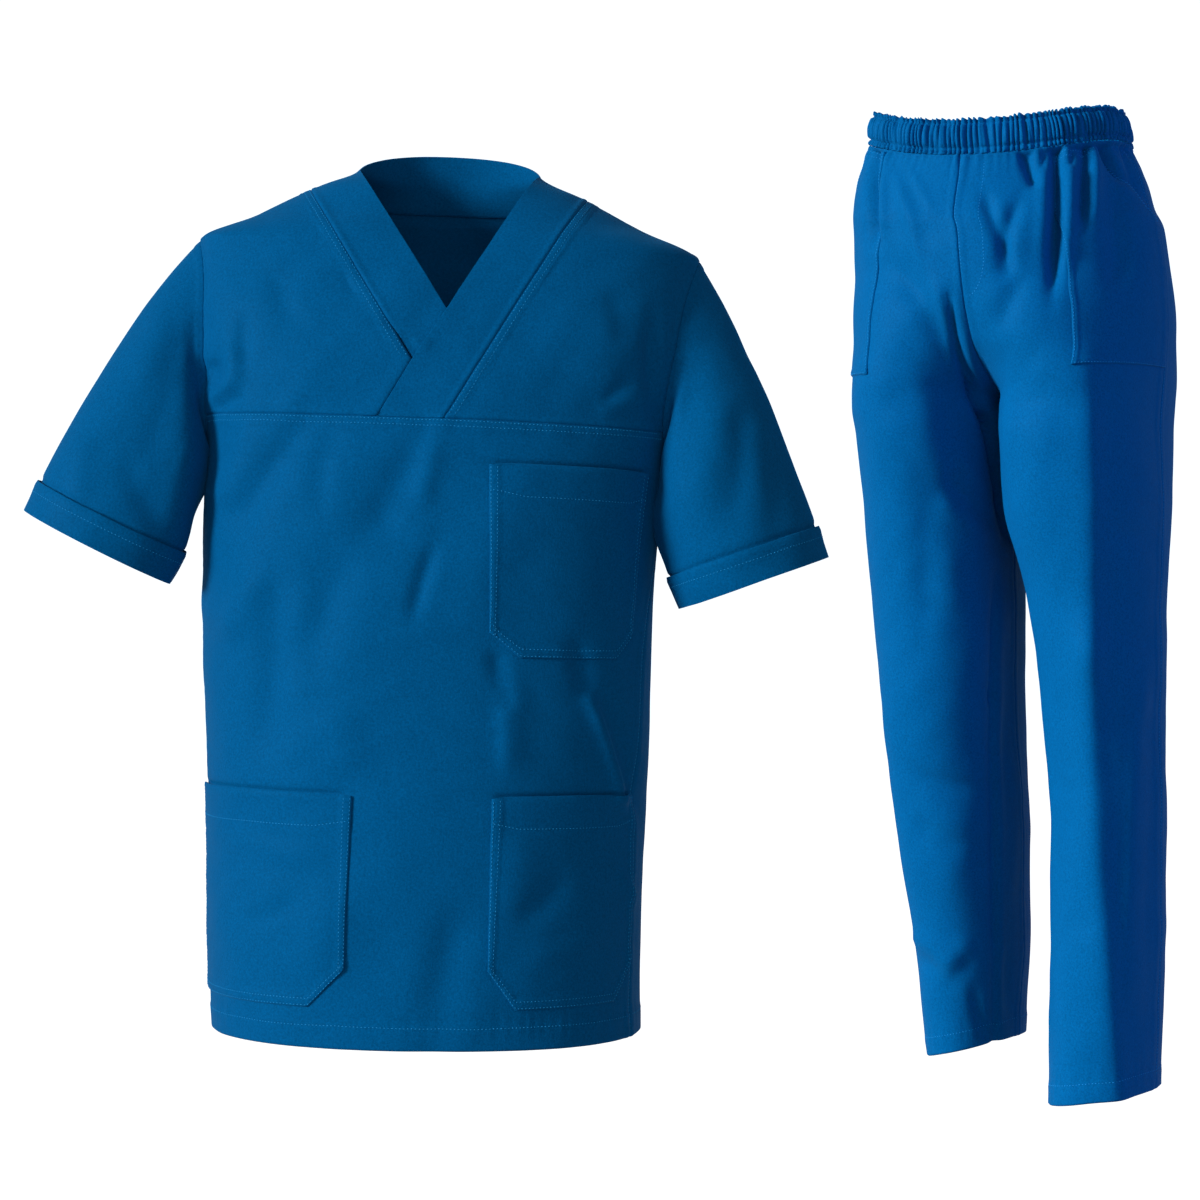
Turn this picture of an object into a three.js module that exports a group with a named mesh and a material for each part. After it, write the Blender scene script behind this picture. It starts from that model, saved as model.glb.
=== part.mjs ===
// Medical scrubs: a short-sleeved tunic with a V neck, and elasticated trousers, side by side.
// Millimetres. X runs to the wearer's left, the front faces -Y and Z is up. Zero is between the
// tunic's two neck points at shoulder height. Right and left are the wearer's own.
import * as THREE from "three";

// Cloth
const WALL = 1.6;
const BAND_WALL = 2.0;
const SEAM_INSET = 0.16;
const LAY_GAP = 0.4;
const POCKET_WALL = 1.5;

// Tunic sizes
const SHOULDER_TIP_Z = -72;
const SHOULDER_BAND_Z = -21;
const BACK_NECK_RISE = 25;
const BACK_BAND_LOW_Z = -27;
const ARMHOLE_CENTRE_Z = -172;
const ARMHOLE_HALF_HEIGHT = 100;
const ARMHOLE_FRONT_BULGE = { right: 0.25, left: 0.28 };
const ARMHOLE_BACK_BULGE = 0.26;
const CHEST_SEAM_Z = -233;
const CHEST_SEAM_TURN =
  Math.acos((CHEST_SEAM_Z - ARMHOLE_CENTRE_Z) / ARMHOLE_HALF_HEIGHT) / Math.PI;
const SIDE_SEAM_FORWARD = { right: 0, left: 0.21 };
const SIDE_SEAM_SETTLE = 200;
const CUFF_HEIGHT = 28.5;
const BAND_DIVE = 2.7;

// Numbers of rows and columns in the tunic
const YOKE_ROWS = 9;
const PIT_ROWS = 4;
const ARM_ROWS = YOKE_ROWS + PIT_ROWS;
const YOKE_COLUMNS = { right: 7, left: 8 };
const BAND_COLUMNS = 2;
const BAND_MEET_ROW = 7;
const BACK_BAND_COLUMNS = 10;
const SLEEVE_ROWS = 7;
const TURNED_FROM_COLUMN = 14;

// Tunic sections from the neck down to the hem
const TORSO = [
  { z: 26, centre: 0, half: 79, front: 46, back: 60, corner: 0.56, roll: 0.042 },
  { z: 0, centre: 0, half: 83, front: 52, back: 68, corner: 0.58, roll: 0.042 },
  { z: -21, centre: 0, half: 127, front: 61, back: 77, corner: 0.6, roll: 0.042 },
  { z: -46, centre: 0, half: 175, front: 72, back: 92, corner: 0.63, roll: 0.042 },
  { z: -72, centre: 0, half: 228.5, front: 85, back: 106, corner: 0.66, roll: 0.042 },
  { z: -150, centre: -5, half: 228, front: 112, back: 124, corner: 0.68, roll: 0.042 },
  { z: -272, centre: -13, half: 210, front: 128, back: 130, corner: 0.63, roll: 0.04 },
  { z: -325, centre: -17.3, half: 207.5, front: 132, back: 129, corner: 0.61, roll: 0.036 },
  { z: -457, centre: -20, half: 204.5, front: 139, back: 131, corner: 0.6, roll: 0.026 },
  { z: -575, centre: -20.5, half: 200.5, front: 144, back: 134, corner: 0.6, roll: 0.02 },
  { z: -697, centre: -22.5, half: 197.5, front: 148, back: 138, corner: 0.6, roll: 0.015 },
  { z: -783, centre: -21, half: 195.5, front: 150, back: 140, corner: 0.6, roll: 0.014 },
];

// Rows of the front and back below the armholes; the pockets start and end on some of them
const LOWER_ROWS = [
  { n: 0, z: -272 },
  { n: 1, z: -309 },
  { n: 2, z: -347 },
  { n: 3, z: -384 },
  { n: 4, z: -419 },
  { n: 5, z: -441 },
  { n: 6, z: -482 },
  { n: 7, z: -523 },
  { n: 8, z: -564 },
  { n: 9, z: -602 },
  { n: 10, z: -640 },
  { n: 11, z: -678 },
  { n: 12, z: -714 },
  { n: 13, z: -748 },
  { n: 14, z: -783 },
];
const LOWER_COUNT = 14;

// Column lines of the front in front view: the right pocket's cut corner and edge, the left
// band's two edges, the left pockets' inner edge, and the chest pocket's outer edge
const FRONT_COLUMNS = [
  { z: -233, cut: -137, right: -101, under: -57.2, over: 1.7, left: 41, chest: 178 },
  { z: -272, cut: -135, right: -99, under: -56, over: 2, left: 41, chest: 180 },
  { z: -347, cut: -131, right: -96, under: -54, over: 2.5, left: 41.3, chest: 172 },
  { z: -441, cut: -126, right: -92, under: -52, over: 3, left: 41.6, chest: 164 },
  { z: -564, cut: -109, right: -77, under: -46, over: 6, left: 43.5, chest: 154 },
  { z: -714, cut: -116, right: -83.7, under: -48, over: 6, left: 40.2, chest: 150 },
  { z: -783, cut: -117, right: -84, under: -48, over: 6, left: 40, chest: 149 },
];

// Lines of the neck bands in front view, before the shoulders' tilt
const BAND_OUTER_RIGHT = [
  { n: 0, x: -127, z: -21 },
  { n: 7, x: -27.4, z: -182 },
  { n: 8, x: -20, z: -193.9 },
];
const BAND_INNER_RIGHT = [
  { n: 0, x: -83, z: 0 },
  { n: 7, x: 3.4, z: -135.1 },
  { n: 8, x: 10.9, z: -146.9 },
];
const BAND_OUTER_LEFT = [
  { n: 0, x: 127, z: -21 },
  { n: 9, x: 1.7, z: -233 },
];
const BAND_INNER_LEFT = [
  { n: 0, x: 83, z: 0 },
  { n: 5.2, x: 3.4, z: -135.1 },
  { n: 7, x: -27.4, z: -182 },
  { n: 9, x: -57.2, z: -233 },
];

// Sleeves: the middle of the cuff's mouth, its half sizes, the way across it and the way down it
const SLEEVE = {
  right: {
    mouth: new THREE.Vector3(-318.5, -35, -343),
    halfWidth: 71.5,
    halfDepth: 58,
    across: new THREE.Vector3(-0.894, 0, 0.449),
    down: new THREE.Vector3(-0.449, 0, -0.894),
    innerDown: new THREE.Vector3(-0.47, 0, -0.883),
    startTop: new THREE.Vector3(-0.8, 0, -0.6),
    startPit: new THREE.Vector3(-1, 0, 0.15),
  },
  left: {
    mouth: new THREE.Vector3(277.5, -35, -376.5),
    halfWidth: 70.5,
    halfDepth: 58,
    across: new THREE.Vector3(0.945, 0, 0.325),
    down: new THREE.Vector3(0.325, 0, -0.945),
    innerDown: new THREE.Vector3(0.42, 0, -0.907),
    startTop: new THREE.Vector3(0.58, 0, -0.815),
    startPit: new THREE.Vector3(1, 0, 0.15),
  },
};
const SLEEVE_REACH = { top: 50, pit: 22, outerEnd: 100, innerEnd: 88 };

// Pockets of the tunic: rows of the front counted from the armhole's foot, columns of the front,
// which of the two foot corners are cut, and the share left bare beside the side seam
const TUNIC_POCKETS = [
  { name: "chest_pocket", top: 0, foot: 5, first: 10, last: 16, cuts: [true, true], margin: 0 },
  { name: "hip_pocket_right", top: 8, foot: 13, first: 0, last: 6, cuts: [false, true], margin: 0.1 },
  { name: "hip_pocket_left", top: 8, foot: 13, first: 10, last: 17, cuts: [true, true], margin: 0.1 },
];

// Folds of the tunic in front view: from, to, half width and depth, positive outwards
const TUNIC_FOLDS = [
  { face: -1, x1: 0, z1: -350, x2: -114, z2: -548, wide: 26, deep: -5 },
  { face: -1, x1: -60, z1: -330, x2: -170, z2: -500, wide: 28, deep: 4 },
  { face: -1, x1: 40, z1: -480, x2: -60, z2: -640, wide: 30, deep: 4 },
  { face: -1, x1: 125, z1: -463, x2: 156, z2: -600, wide: 16, deep: 3 },
  { face: -1, x1: -145, z1: -90, x2: -150, z2: -140, wide: 16, deep: -3 },
  { face: -1, x1: 150, z1: -110, x2: 120, z2: -190, wide: 18, deep: -3 },
  { face: -1, x1: -40, z1: -600, x2: -30, z2: -783, wide: 30, deep: -4 },
  { face: 1, x1: -120, z1: -150, x2: -90, z2: -420, wide: 30, deep: -6 },
  { face: 1, x1: 100, z1: -160, x2: 70, z2: -430, wide: 30, deep: -6 },
  { face: 1, x1: -20, z1: -330, x2: -30, z2: -783, wide: 34, deep: 6 },
  { face: 1, x1: -110, z1: -500, x2: -120, z2: -783, wide: 28, deep: -6 },
  { face: 1, x1: 80, z1: -480, x2: 90, z2: -783, wide: 28, deep: -6 },
];
const FOLD_FACING_FROM = 0.2;
const FOLD_FACING_TO = 0.7;

// Trousers: where they stand, and how far they are turned to the wearer's right
const TROUSERS_X = 562;
const TROUSERS_Y = 300;
const TROUSERS_TURN = (31 * Math.PI) / 180;
const WAIST_SEAM_Z = 76;
const WAIST_DIP = 26;
const WAIST_DIP_REACH = 98.5;
const WAIST_SLOPE = -0.075;
const SLOPE_END_Z = -60;
const TROUSER_ROWS = 22;
const FRONT_PANEL_COLUMNS = 14;
const BACK_PANEL_COLUMNS = 10;
const FULL_LOOP = 4 / 3;
const TURNED_ROWS = { first: 5, last: 12 };

// Trunk rows: the outseam, the middle seam in front and behind, how far the section reaches
// forward and back, its fullness, the way it takes at the middle seam, and its lean
const TRUNK = [
  { n: 0, outX: 137, outY: 0, outZ: 76, frontY: -101, frontZ: 76, backY: 105, backZ: 76,
    frontReach: 101, backReach: 105, corner: 0.58, turn: 0, lean: -12.5 },
  { n: 1, outX: 144, outY: 0, outZ: 53, frontY: -112, frontZ: 53, backY: 119, backZ: 53,
    frontReach: 112, backReach: 119, corner: 0.58, turn: 0, lean: -10 },
  { n: 2, outX: 151, outY: 0, outZ: 31, frontY: -120, frontZ: 31, backY: 127, backZ: 31,
    frontReach: 120, backReach: 127, corner: 0.58, turn: 0, lean: -10 },
  { n: 3, outX: 155, outY: 0, outZ: 9, frontY: -126, frontZ: 9, backY: 134, backZ: 9,
    frontReach: 126, backReach: 134, corner: 0.58, turn: 0, lean: -9 },
  { n: 4, outX: 159.5, outY: 0, outZ: -13, frontY: -130, frontZ: -13, backY: 140, backZ: -13,
    frontReach: 130.5, backReach: 140, corner: 0.58, turn: 0, lean: -4 },
  { n: 5, outX: 161.5, outY: 0, outZ: -50, frontY: -132, frontZ: -50, backY: 143, backZ: -48,
    frontReach: 132.5, backReach: 143, corner: 0.58, turn: 0, lean: -1 },
  { n: 6, outX: 162, outY: 0, outZ: -87, frontY: -127, frontZ: -90, backY: 138, backZ: -86,
    frontReach: 133, backReach: 144, corner: 0.64, turn: 15, lean: 1 },
  { n: 7, outX: 161.5, outY: -1, outZ: -124, frontY: -107, frontZ: -131, backY: 119, backZ: -124,
    frontReach: 133, backReach: 144, corner: 0.71, turn: 40, lean: 2 },
  { n: 8, outX: 160.5, outY: -2, outZ: -160, frontY: -56, frontZ: -168, backY: 66, backZ: -162,
    frontReach: 131, backReach: 141, corner: 0.98, turn: 68, lean: 2 },
  { n: 9, outX: 160, outY: -3, outZ: -192, frontY: 8, frontZ: -198, backY: 8, backZ: -198,
    frontReach: 124, backReach: 132, corner: 1.3333, turn: 90, lean: 1 },
];

// Leg rows: middle, half width, reach forward and back, depth of the seams, and their heights
const LEG = {
  right: [
    { n: 10, mid: 80.5, half: 76, front: 122, back: 127, y: 4, outZ: -222, inZ: -224 },
    { n: 12, mid: 80.5, half: 75.5, front: 111, back: 112, y: 15, outZ: -296, inZ: -296 },
    { n: 14, mid: 79, half: 74, front: 100, back: 100, y: 22, outZ: -388, inZ: -388 },
    { n: 16, mid: 78, half: 69, front: 95, back: 95, y: 32, outZ: -494, inZ: -494 },
    { n: 18, mid: 73.2, half: 64.8, front: 87, back: 87, y: 43, outZ: -611, inZ: -611 },
    { n: 20, mid: 68.2, half: 56.8, front: 77, back: 77, y: 56, outZ: -740, inZ: -740 },
    { n: 22, mid: 66, half: 47, front: 66, back: 66, y: 64, outZ: -876, inZ: -851 },
  ],
  left: [
    { n: 10, mid: 82.5, half: 77.5, front: 124, back: 130, y: -3, outZ: -222, inZ: -224 },
    { n: 12, mid: 85, half: 77, front: 115, back: 115, y: -5, outZ: -296, inZ: -296 },
    { n: 14, mid: 96, half: 64, front: 89, back: 89, y: -8, outZ: -392, inZ: -392 },
    { n: 16, mid: 104, half: 57.5, front: 77, back: 77, y: -10, outZ: -500, inZ: -500 },
    { n: 18, mid: 110, half: 53, front: 72, back: 72, y: -12, outZ: -620, inZ: -620 },
    { n: 20, mid: 109.5, half: 51.5, front: 73, back: 73, y: -14, outZ: -750, inZ: -750 },
    { n: 22, mid: 105.5, half: 50.5, front: 72, back: 72, y: -15, outZ: -879, inZ: -898 },
  ],
};

// Folds of the trousers in front view, measured from their own middle
const TROUSER_FOLDS = [
  { face: -1, x1: 31, z1: 70, x2: 24, z2: -90, wide: 12, deep: -7 },
  { face: -1, x1: 92, z1: 84, x2: 90, z2: -60, wide: 14, deep: -6 },
  { face: -1, x1: -40, z1: 20, x2: -24, z2: -10, wide: 16, deep: -4 },
  { face: -1, x1: -125, z1: 60, x2: -125, z2: -50, wide: 12, deep: -5 },
  { face: -1, x1: -98, z1: -40, x2: -60, z2: -150, wide: 20, deep: 5 },
  { face: -1, x1: 60, z1: -120, x2: 74, z2: -780, wide: 22, deep: 4 },
  { face: 1, x1: -60, z1: 60, x2: -70, z2: -60, wide: 14, deep: -6 },
  { face: 1, x1: 10, z1: 60, x2: 0, z2: -50, wide: 14, deep: -5 },
  { face: 1, x1: 70, z1: 60, x2: 80, z2: -60, wide: 14, deep: -6 },
];

// Slanted trouser pockets: rows down, columns in from the outseam, and rows of the slanted mouth
const TROUSER_POCKET = { foot: 8, columns: 9, mouth: 4, topMargin: 0.15 };

// Share of a front panel that lies outside the pocket's inner edge
const POCKET_EDGE = [
  { n: 0, share: 0.56 },
  { n: 3, share: 0.58 },
  { n: 5, share: 0.58 },
  { n: 6, share: 0.575 },
  { n: 7, share: 0.53 },
  { n: 8, share: 0.47 },
  { n: 9, share: 0.5 },
  { n: 12, share: 0.64 },
  { n: 22, share: 0.64 },
];

// Waistband: a casing gathered all round on its elastic
const WAISTBAND_RINGS = [
  { z: 76.5, half: 137, front: 101, back: 105, corner: 0.58, lean: -12.5 },
  { z: 94, half: 136, front: 100, back: 104, corner: 0.58, lean: -13.5 },
  { z: 110.5, half: 130.5, front: 96, back: 99, corner: 0.58, lean: -14.5 },
];
const GATHERS = 96;
const GATHER_RISE = 1.5;
const WAISTBAND_WALL = 1.5;

// Colours
const TUNIC_BLUE = 0x0a4a80;
const TROUSER_BLUE = 0x0a5a9c;

// Fineness of the sums
const HALVINGS = 40;
const CURVE_STEP = 0.005;
const MEETING_POINTS_PER_MM = 50;
const SHARPEST_CORNER = 0.4;
const LONGEST_NORMAL = 1.4;

// Small sums
function clamp(value, low, high) {
  return Math.min(high, Math.max(low, value));
}

function smooth(value) {
  const t = clamp(value, 0, 1);
  return t * t * (3 - 2 * t);
}

// Slope of one column of a table at one of its rows, kept monotone
function tableSlope(table, by, key, i) {
  const step = (n) => (table[n + 1][key] - table[n][key]) / (table[n + 1][by] - table[n][by]);
  if (i === 0) {
    return step(0);
  }
  if (i === table.length - 1) {
    return step(i - 1);
  }
  const before = step(i - 1);
  const after = step(i);
  return before * after > 0 ? (2 * before * after) / (before + after) : 0;
}

// One column of a table, read smoothly between its rows
function read(table, by, key, value) {
  const rising = table[1][by] > table[0][by];
  let i = 0;
  while (i < table.length - 2 && (rising ? value > table[i + 1][by] : value < table[i + 1][by])) {
    i += 1;
  }
  const span = table[i + 1][by] - table[i][by];
  const t = clamp((value - table[i][by]) / span, 0, 1);
  const rise = table[i + 1][key] - table[i][key];
  const start = tableSlope(table, by, key, i) * span;
  const end = tableSlope(table, by, key, i + 1) * span;
  const bend = 3 * rise - 2 * start - end;
  return table[i][key] + t * (start + t * (bend + t * (start + end - 2 * rise)));
}

// One column of a table, read in straight steps
function readStraight(table, by, key, value) {
  const rising = table[1][by] > table[0][by];
  let i = 0;
  while (i < table.length - 2 && (rising ? value > table[i + 1][by] : value < table[i + 1][by])) {
    i += 1;
  }
  const t = (value - table[i][by]) / (table[i + 1][by] - table[i][by]);
  return table[i][key] + t * (table[i + 1][key] - table[i][key]);
}

function cubic(a, b, c, d, t) {
  const s = 1 - t;
  return new THREE.Vector3()
    .addScaledVector(a, s * s * s)
    .addScaledVector(b, 3 * s * s * t)
    .addScaledVector(c, 3 * s * t * t)
    .addScaledVector(d, t * t * t);
}

// Share of a section's half width at a share of its quarter turn
function acrossShare(t, corner) {
  const s = 1 - t;
  return 3 * s * s * t * corner + 3 * s * t * t + t * t * t;
}

// The tunic's body: q runs round it, 0 in front, -1 and 1 at the sides, -2 and 2 behind
function torsoPoint(q, z) {
  const turn = q - 4 * Math.floor((q + 2) / 4);
  const away = Math.abs(turn);
  const inFront = away <= 1;
  const t = inFront ? away : 2 - away;
  const corner = read(TORSO, "z", "corner", z);
  const depth = inFront ? -read(TORSO, "z", "front", z) : read(TORSO, "z", "back", z);
  const across = read(TORSO, "z", "half", z) * acrossShare(t, corner);
  const x = read(TORSO, "z", "centre", z) + Math.sign(turn) * across;
  const y = depth * acrossShare(1 - t, corner);
  return new THREE.Vector3(x, y, z - read(TORSO, "z", "roll", z) * x);
}

// Turn at which the body reaches a given width from its middle
function turnAt(width, z) {
  const share = Math.abs(width) / read(TORSO, "z", "half", z);
  const corner = read(TORSO, "z", "corner", z);
  let low = 0;
  let high = 1;
  for (let step = 0; step < HALVINGS; step += 1) {
    const t = (low + high) / 2;
    if (acrossShare(t, corner) < share) {
      low = t;
    } else {
      high = t;
    }
  }
  return (Math.sign(width) * (low + high)) / 2;
}

function frontTurn(x, z) {
  return turnAt(x - read(TORSO, "z", "centre", z), z);
}

function widthAt(turn, z) {
  const share = acrossShare(Math.abs(turn), read(TORSO, "z", "corner", z));
  return Math.sign(turn) * share * read(TORSO, "z", "half", z);
}

// Edges of the tunic's pieces, as turn and height
const SIGN = { right: -1, left: 1 };

function armholeFront(side, i) {
  const early = (CHEST_SEAM_TURN * i) / YOKE_ROWS;
  const late = CHEST_SEAM_TURN + ((1 - CHEST_SEAM_TURN) * (i - YOKE_ROWS)) / PIT_ROWS;
  const turn = (i <= YOKE_ROWS ? early : late) * Math.PI;
  return {
    q: SIGN[side] * (1 - ARMHOLE_FRONT_BULGE[side] * Math.sin(turn)),
    z: ARMHOLE_CENTRE_Z + ARMHOLE_HALF_HEIGHT * Math.cos(turn),
  };
}

function armholeBack(side, i) {
  const turn = (Math.PI * i) / ARM_ROWS;
  return {
    q: SIGN[side] * (1 + ARMHOLE_BACK_BULGE * Math.sin(turn)),
    z: ARMHOLE_CENTRE_Z + ARMHOLE_HALF_HEIGHT * Math.cos(turn),
  };
}

function shoulderSeam(side, j) {
  const share = j / YOKE_COLUMNS[side];
  return { q: SIGN[side], z: SHOULDER_TIP_Z + (SHOULDER_BAND_Z - SHOULDER_TIP_Z) * share };
}

function sideSeam(side, n) {
  const z = readStraight(LOWER_ROWS, "n", "z", n);
  const fall = smooth((LOWER_ROWS[0].z - z) / SIDE_SEAM_SETTLE);
  return { q: SIGN[side] * (1 - SIDE_SEAM_FORWARD[side] * fall), z };
}

function bandLine(line, n) {
  const x = readStraight(line, "n", "x", n);
  const z = readStraight(line, "n", "z", n);
  const reach = read(TORSO, "z", "half", z);
  const share = n <= 0 ? Math.sign(x) : frontTurn(clamp(x, -reach, reach), z);
  return { q: share, z };
}

// Front edge points where row i of the front meets the armhole or the side seam
function frontSide(side, i) {
  return i < PIT_ROWS ? armholeFront(side, YOKE_ROWS + i) : sideSeam(side, i - PIT_ROWS);
}

function columnTurn(key, z) {
  return frontTurn(readStraight(FRONT_COLUMNS, "z", key, z), z);
}

// Turn and height of the lower front at a row and a column
function frontGrid(i, j) {
  const start = frontSide("right", i);
  const end = frontSide("left", i);
  const z = start.z;
  const wrapRight = YOKE_COLUMNS.right;
  const wrapLeft = wrapRight + BAND_COLUMNS;
  const last = wrapLeft + YOKE_COLUMNS.left;
  const stops = [
    { n: 0, q: start.q },
    { n: wrapRight - 2, q: columnTurn("cut", z) },
    { n: wrapRight - 1, q: columnTurn("right", z) },
    { n: wrapRight, q: columnTurn("under", z) },
    { n: wrapLeft, q: columnTurn("over", z) },
    { n: wrapLeft + 1, q: columnTurn("left", z) },
    { n: last - 1, q: columnTurn("chest", z) },
    { n: last, q: end.q },
  ];
  return { q: readStraight(stops, "n", "q", j), z };
}

// Inner edge of a yoke, shared with the neck bands
function yokeInner(side, i) {
  if (side === "left") {
    return bandLine(BAND_OUTER_LEFT, i);
  }
  return i <= BAND_MEET_ROW ? bandLine(BAND_OUTER_RIGHT, i) : bandLine(BAND_INNER_LEFT, i);
}

// A patch of turn and height between four edges
function patch(rows, columns, top, foot, start, end) {
  const corners = [top(0), top(columns), foot(0), foot(columns)];
  return (i, j) => {
    const v = i / rows;
    const u = j / columns;
    const mix = (key) =>
      (1 - v) * top(j)[key] + v * foot(j)[key] + (1 - u) * start(i)[key] + u * end(i)[key] -
      (1 - v) * ((1 - u) * corners[0][key] + u * corners[1][key]) -
      v * ((1 - u) * corners[2][key] + u * corners[3][key]);
    return { q: mix("q"), z: mix("z") };
  };
}

// The same, spread evenly across the front or the back as seen square on; each edge's turn
// is changed for its width there, and changed back once the patch is spread
function spreadPatch(rows, columns, top, foot, start, end, behind = false) {
  const flat = (edge) => (n) => {
    const { q, z } = edge(n);
    return { q: widthAt(behind ? -2 - q : q, z), z };
  };
  const mixed = patch(rows, columns, flat(top), flat(foot), flat(start), flat(end));
  return (i, j) => {
    if (i === 0) {
      return top(j);
    }
    if (i === rows) {
      return foot(j);
    }
    if (j === 0) {
      return start(i);
    }
    if (j === columns) {
      return end(i);
    }
    const { q: width, z } = mixed(i, j);
    const turn = turnAt(width, z);
    return { q: behind ? -2 - turn : turn, z };
  };
}

// A sheet of cloth: a grid of points on the middle of its wall
function sheetOf(name, rows, columns, pointAt, heart, isRing = false) {
  const perRow = isRing ? columns : columns + 1;
  const points = [];
  for (let i = 0; i <= rows; i += 1) {
    for (let j = 0; j < perRow; j += 1) {
      points.push(pointAt(i, j));
    }
  }
  const index = (i, j) => i * perRow + (isRing ? j % columns : j);
  return { name, rows, columns, perRow, points, index, heart, isRing, turned: () => false };
}

function onTorso(place) {
  return (i, j) => {
    const at = place(i, j);
    return torsoPoint(at.q, at.z);
  };
}

// Two triangles of one cell, split along one diagonal or the other
function cellFaces(sheet, i, j) {
  const a = sheet.index(i, j);
  const b = sheet.index(i, j + 1);
  const c = sheet.index(i + 1, j + 1);
  const d = sheet.index(i + 1, j);
  return sheet.turned(i, j) ? [[a, b, d], [b, c, d]] : [[a, b, c], [a, c, d]];
}

function faceNormal(points, face) {
  const [a, b, c] = face.map((n) => points[n]);
  return new THREE.Vector3().subVectors(b, a).cross(new THREE.Vector3().subVectors(c, a));
}

// All faces of a sheet, turned to look away from its heart
function sheetFaces(sheet) {
  const faces = [];
  for (let i = 0; i < sheet.rows; i += 1) {
    for (let j = 0; j < sheet.columns; j += 1) {
      faces.push(...cellFaces(sheet, i, j));
    }
  }
  let outward = 0;
  faces.forEach((face) => {
    const middle = sheet.points[face[0]];
    const away = new THREE.Vector3().subVectors(middle, sheet.heart(middle));
    outward += faceNormal(sheet.points, face).dot(away);
  });
  sheet.reversed = outward < 0;
  return sheet.reversed ? faces.map(([a, b, c]) => [a, c, b]) : faces;
}

// Normals shared by all sheets that meet at a point, so that walls meet on one line at a seam.
// They are longer where the cloth bends, so that the wall keeps its thickness round a bend.
function weldNormals(sheets) {
  const sums = new Map();
  const keyOf = (p) => p.toArray().map((value) => Math.round(value * MEETING_POINTS_PER_MM)).join(" ");
  sheets.forEach((sheet) => {
    sheetFaces(sheet).forEach((face) => {
      const normal = faceNormal(sheet.points, face).normalize();
      face.forEach((n) => {
        const key = keyOf(sheet.points[n]);
        const sum = sums.get(key) || { total: new THREE.Vector3(), count: 0 };
        sum.total.add(normal);
        sum.count += 1;
        sums.set(key, sum);
      });
    });
  });
  sheets.forEach((sheet) => {
    sheet.normals = sheet.points.map((p) => {
      const { total, count } = sums.get(keyOf(p));
      return total.clone().setLength(Math.min(LONGEST_NORMAL, count / total.length()));
    });
  });
}

// Depth of the folds at a point
function foldDepth(folds, point, normal, middleX) {
  let depth = 0;
  folds.forEach((fold) => {
    const facing = (normal.y * fold.face - FOLD_FACING_FROM) / (FOLD_FACING_TO - FOLD_FACING_FROM);
    const runX = fold.x2 - fold.x1;
    const runZ = fold.z2 - fold.z1;
    const length = Math.hypot(runX, runZ);
    const offX = point.x - middleX - fold.x1;
    const offZ = point.z - fold.z1;
    const along = (offX * runX + offZ * runZ) / length;
    const beside = (offX * runZ - offZ * runX) / length;
    const past = Math.max(0, -along, along - length);
    const spread = (beside * beside + (past * past) / 4) / (fold.wide * fold.wide);
    depth += fold.deep * Math.exp(-spread) * smooth(facing);
  });
  return depth;
}

function foldSheets(sheets, folds, middleX) {
  weldNormals(sheets);
  sheets.forEach((sheet) => {
    sheet.points = sheet.points.map((point, n) => {
      const normal = sheet.normals[n];
      return point.clone().addScaledVector(normal, foldDepth(folds, point, normal, middleX));
    });
  });
  weldNormals(sheets);
}

// Edges that only one face uses, each from its first point to its second
function openEdges(faces) {
  const edges = new Map();
  faces.forEach(([a, b, c]) => {
    [[a, b], [b, c], [c, a]].forEach(([from, to]) => edges.set(`${from} ${to}`, [from, to]));
  });
  return [...edges.values()].filter(([from, to]) => !edges.has(`${to} ${from}`));
}

// Draws the edges of a sheet in a little, square to each edge, so that seams keep their gap
function drawnIn(sheet, amount) {
  const inward = new Map();
  openEdges(sheetFaces(sheet)).forEach(([from, to]) => {
    const along = new THREE.Vector3().subVectors(sheet.points[to], sheet.points[from]);
    [from, to].forEach((n) => {
      const way = new THREE.Vector3().crossVectors(sheet.normals[n], along).normalize();
      inward.set(n, [...(inward.get(n) || []), way]);
    });
  });
  return sheet.points.map((point, n) => {
    if (!inward.has(n)) {
      return point.clone();
    }
    const [first, second] = inward.get(n);
    const sum = new THREE.Vector3().addVectors(first, second);
    return point.clone().addScaledVector(sum, amount / Math.max(SHARPEST_CORNER, 1 + first.dot(second)));
  });
}

// Way by which both pieces at a seam choose the same split of their edge faces
const EDGE_SPLIT = new THREE.Vector3(0.37, 1, 0.71);

// A closed wall on both sides of a set of faces
function wallGeometry(points, normals, faces, outward, inward) {
  const used = [...new Set(faces.flat())].sort((a, b) => a - b);
  const place = new Map(used.map((n, k) => [n, k]));
  const count = used.length;
  const positions = [];
  used.forEach((n) => positions.push(points[n].clone().addScaledVector(normals[n], outward(n))));
  used.forEach((n) => positions.push(points[n].clone().addScaledVector(normals[n], inward(n))));
  const triangles = [];
  faces.forEach((face) => {
    const [a, b, c] = face.map((n) => place.get(n));
    triangles.push(a, b, c, a + count, c + count, b + count);
  });
  openEdges(faces).forEach((edge) => {
    const [from, to] = edge.map((n) => place.get(n));
    if (points[edge[0]].dot(EDGE_SPLIT) < points[edge[1]].dot(EDGE_SPLIT)) {
      triangles.push(to, from, from + count, to, from + count, to + count);
    } else {
      triangles.push(to, from, to + count, from, from + count, to + count);
    }
  });
  const numbers = positions.flatMap((p) => p.toArray());
  const geometry = new THREE.BufferGeometry();
  geometry.setAttribute("position", new THREE.Float32BufferAttribute(numbers, 3));
  geometry.setIndex(triangles);
  geometry.computeVertexNormals();
  return geometry;
}

const scrubs = new THREE.Group();
scrubs.name = "medical_scrubs";
const tunic = new THREE.Group();
tunic.name = "tunic";
const trousers = new THREE.Group();
trousers.name = "trousers";
scrubs.add(tunic, trousers);

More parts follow.
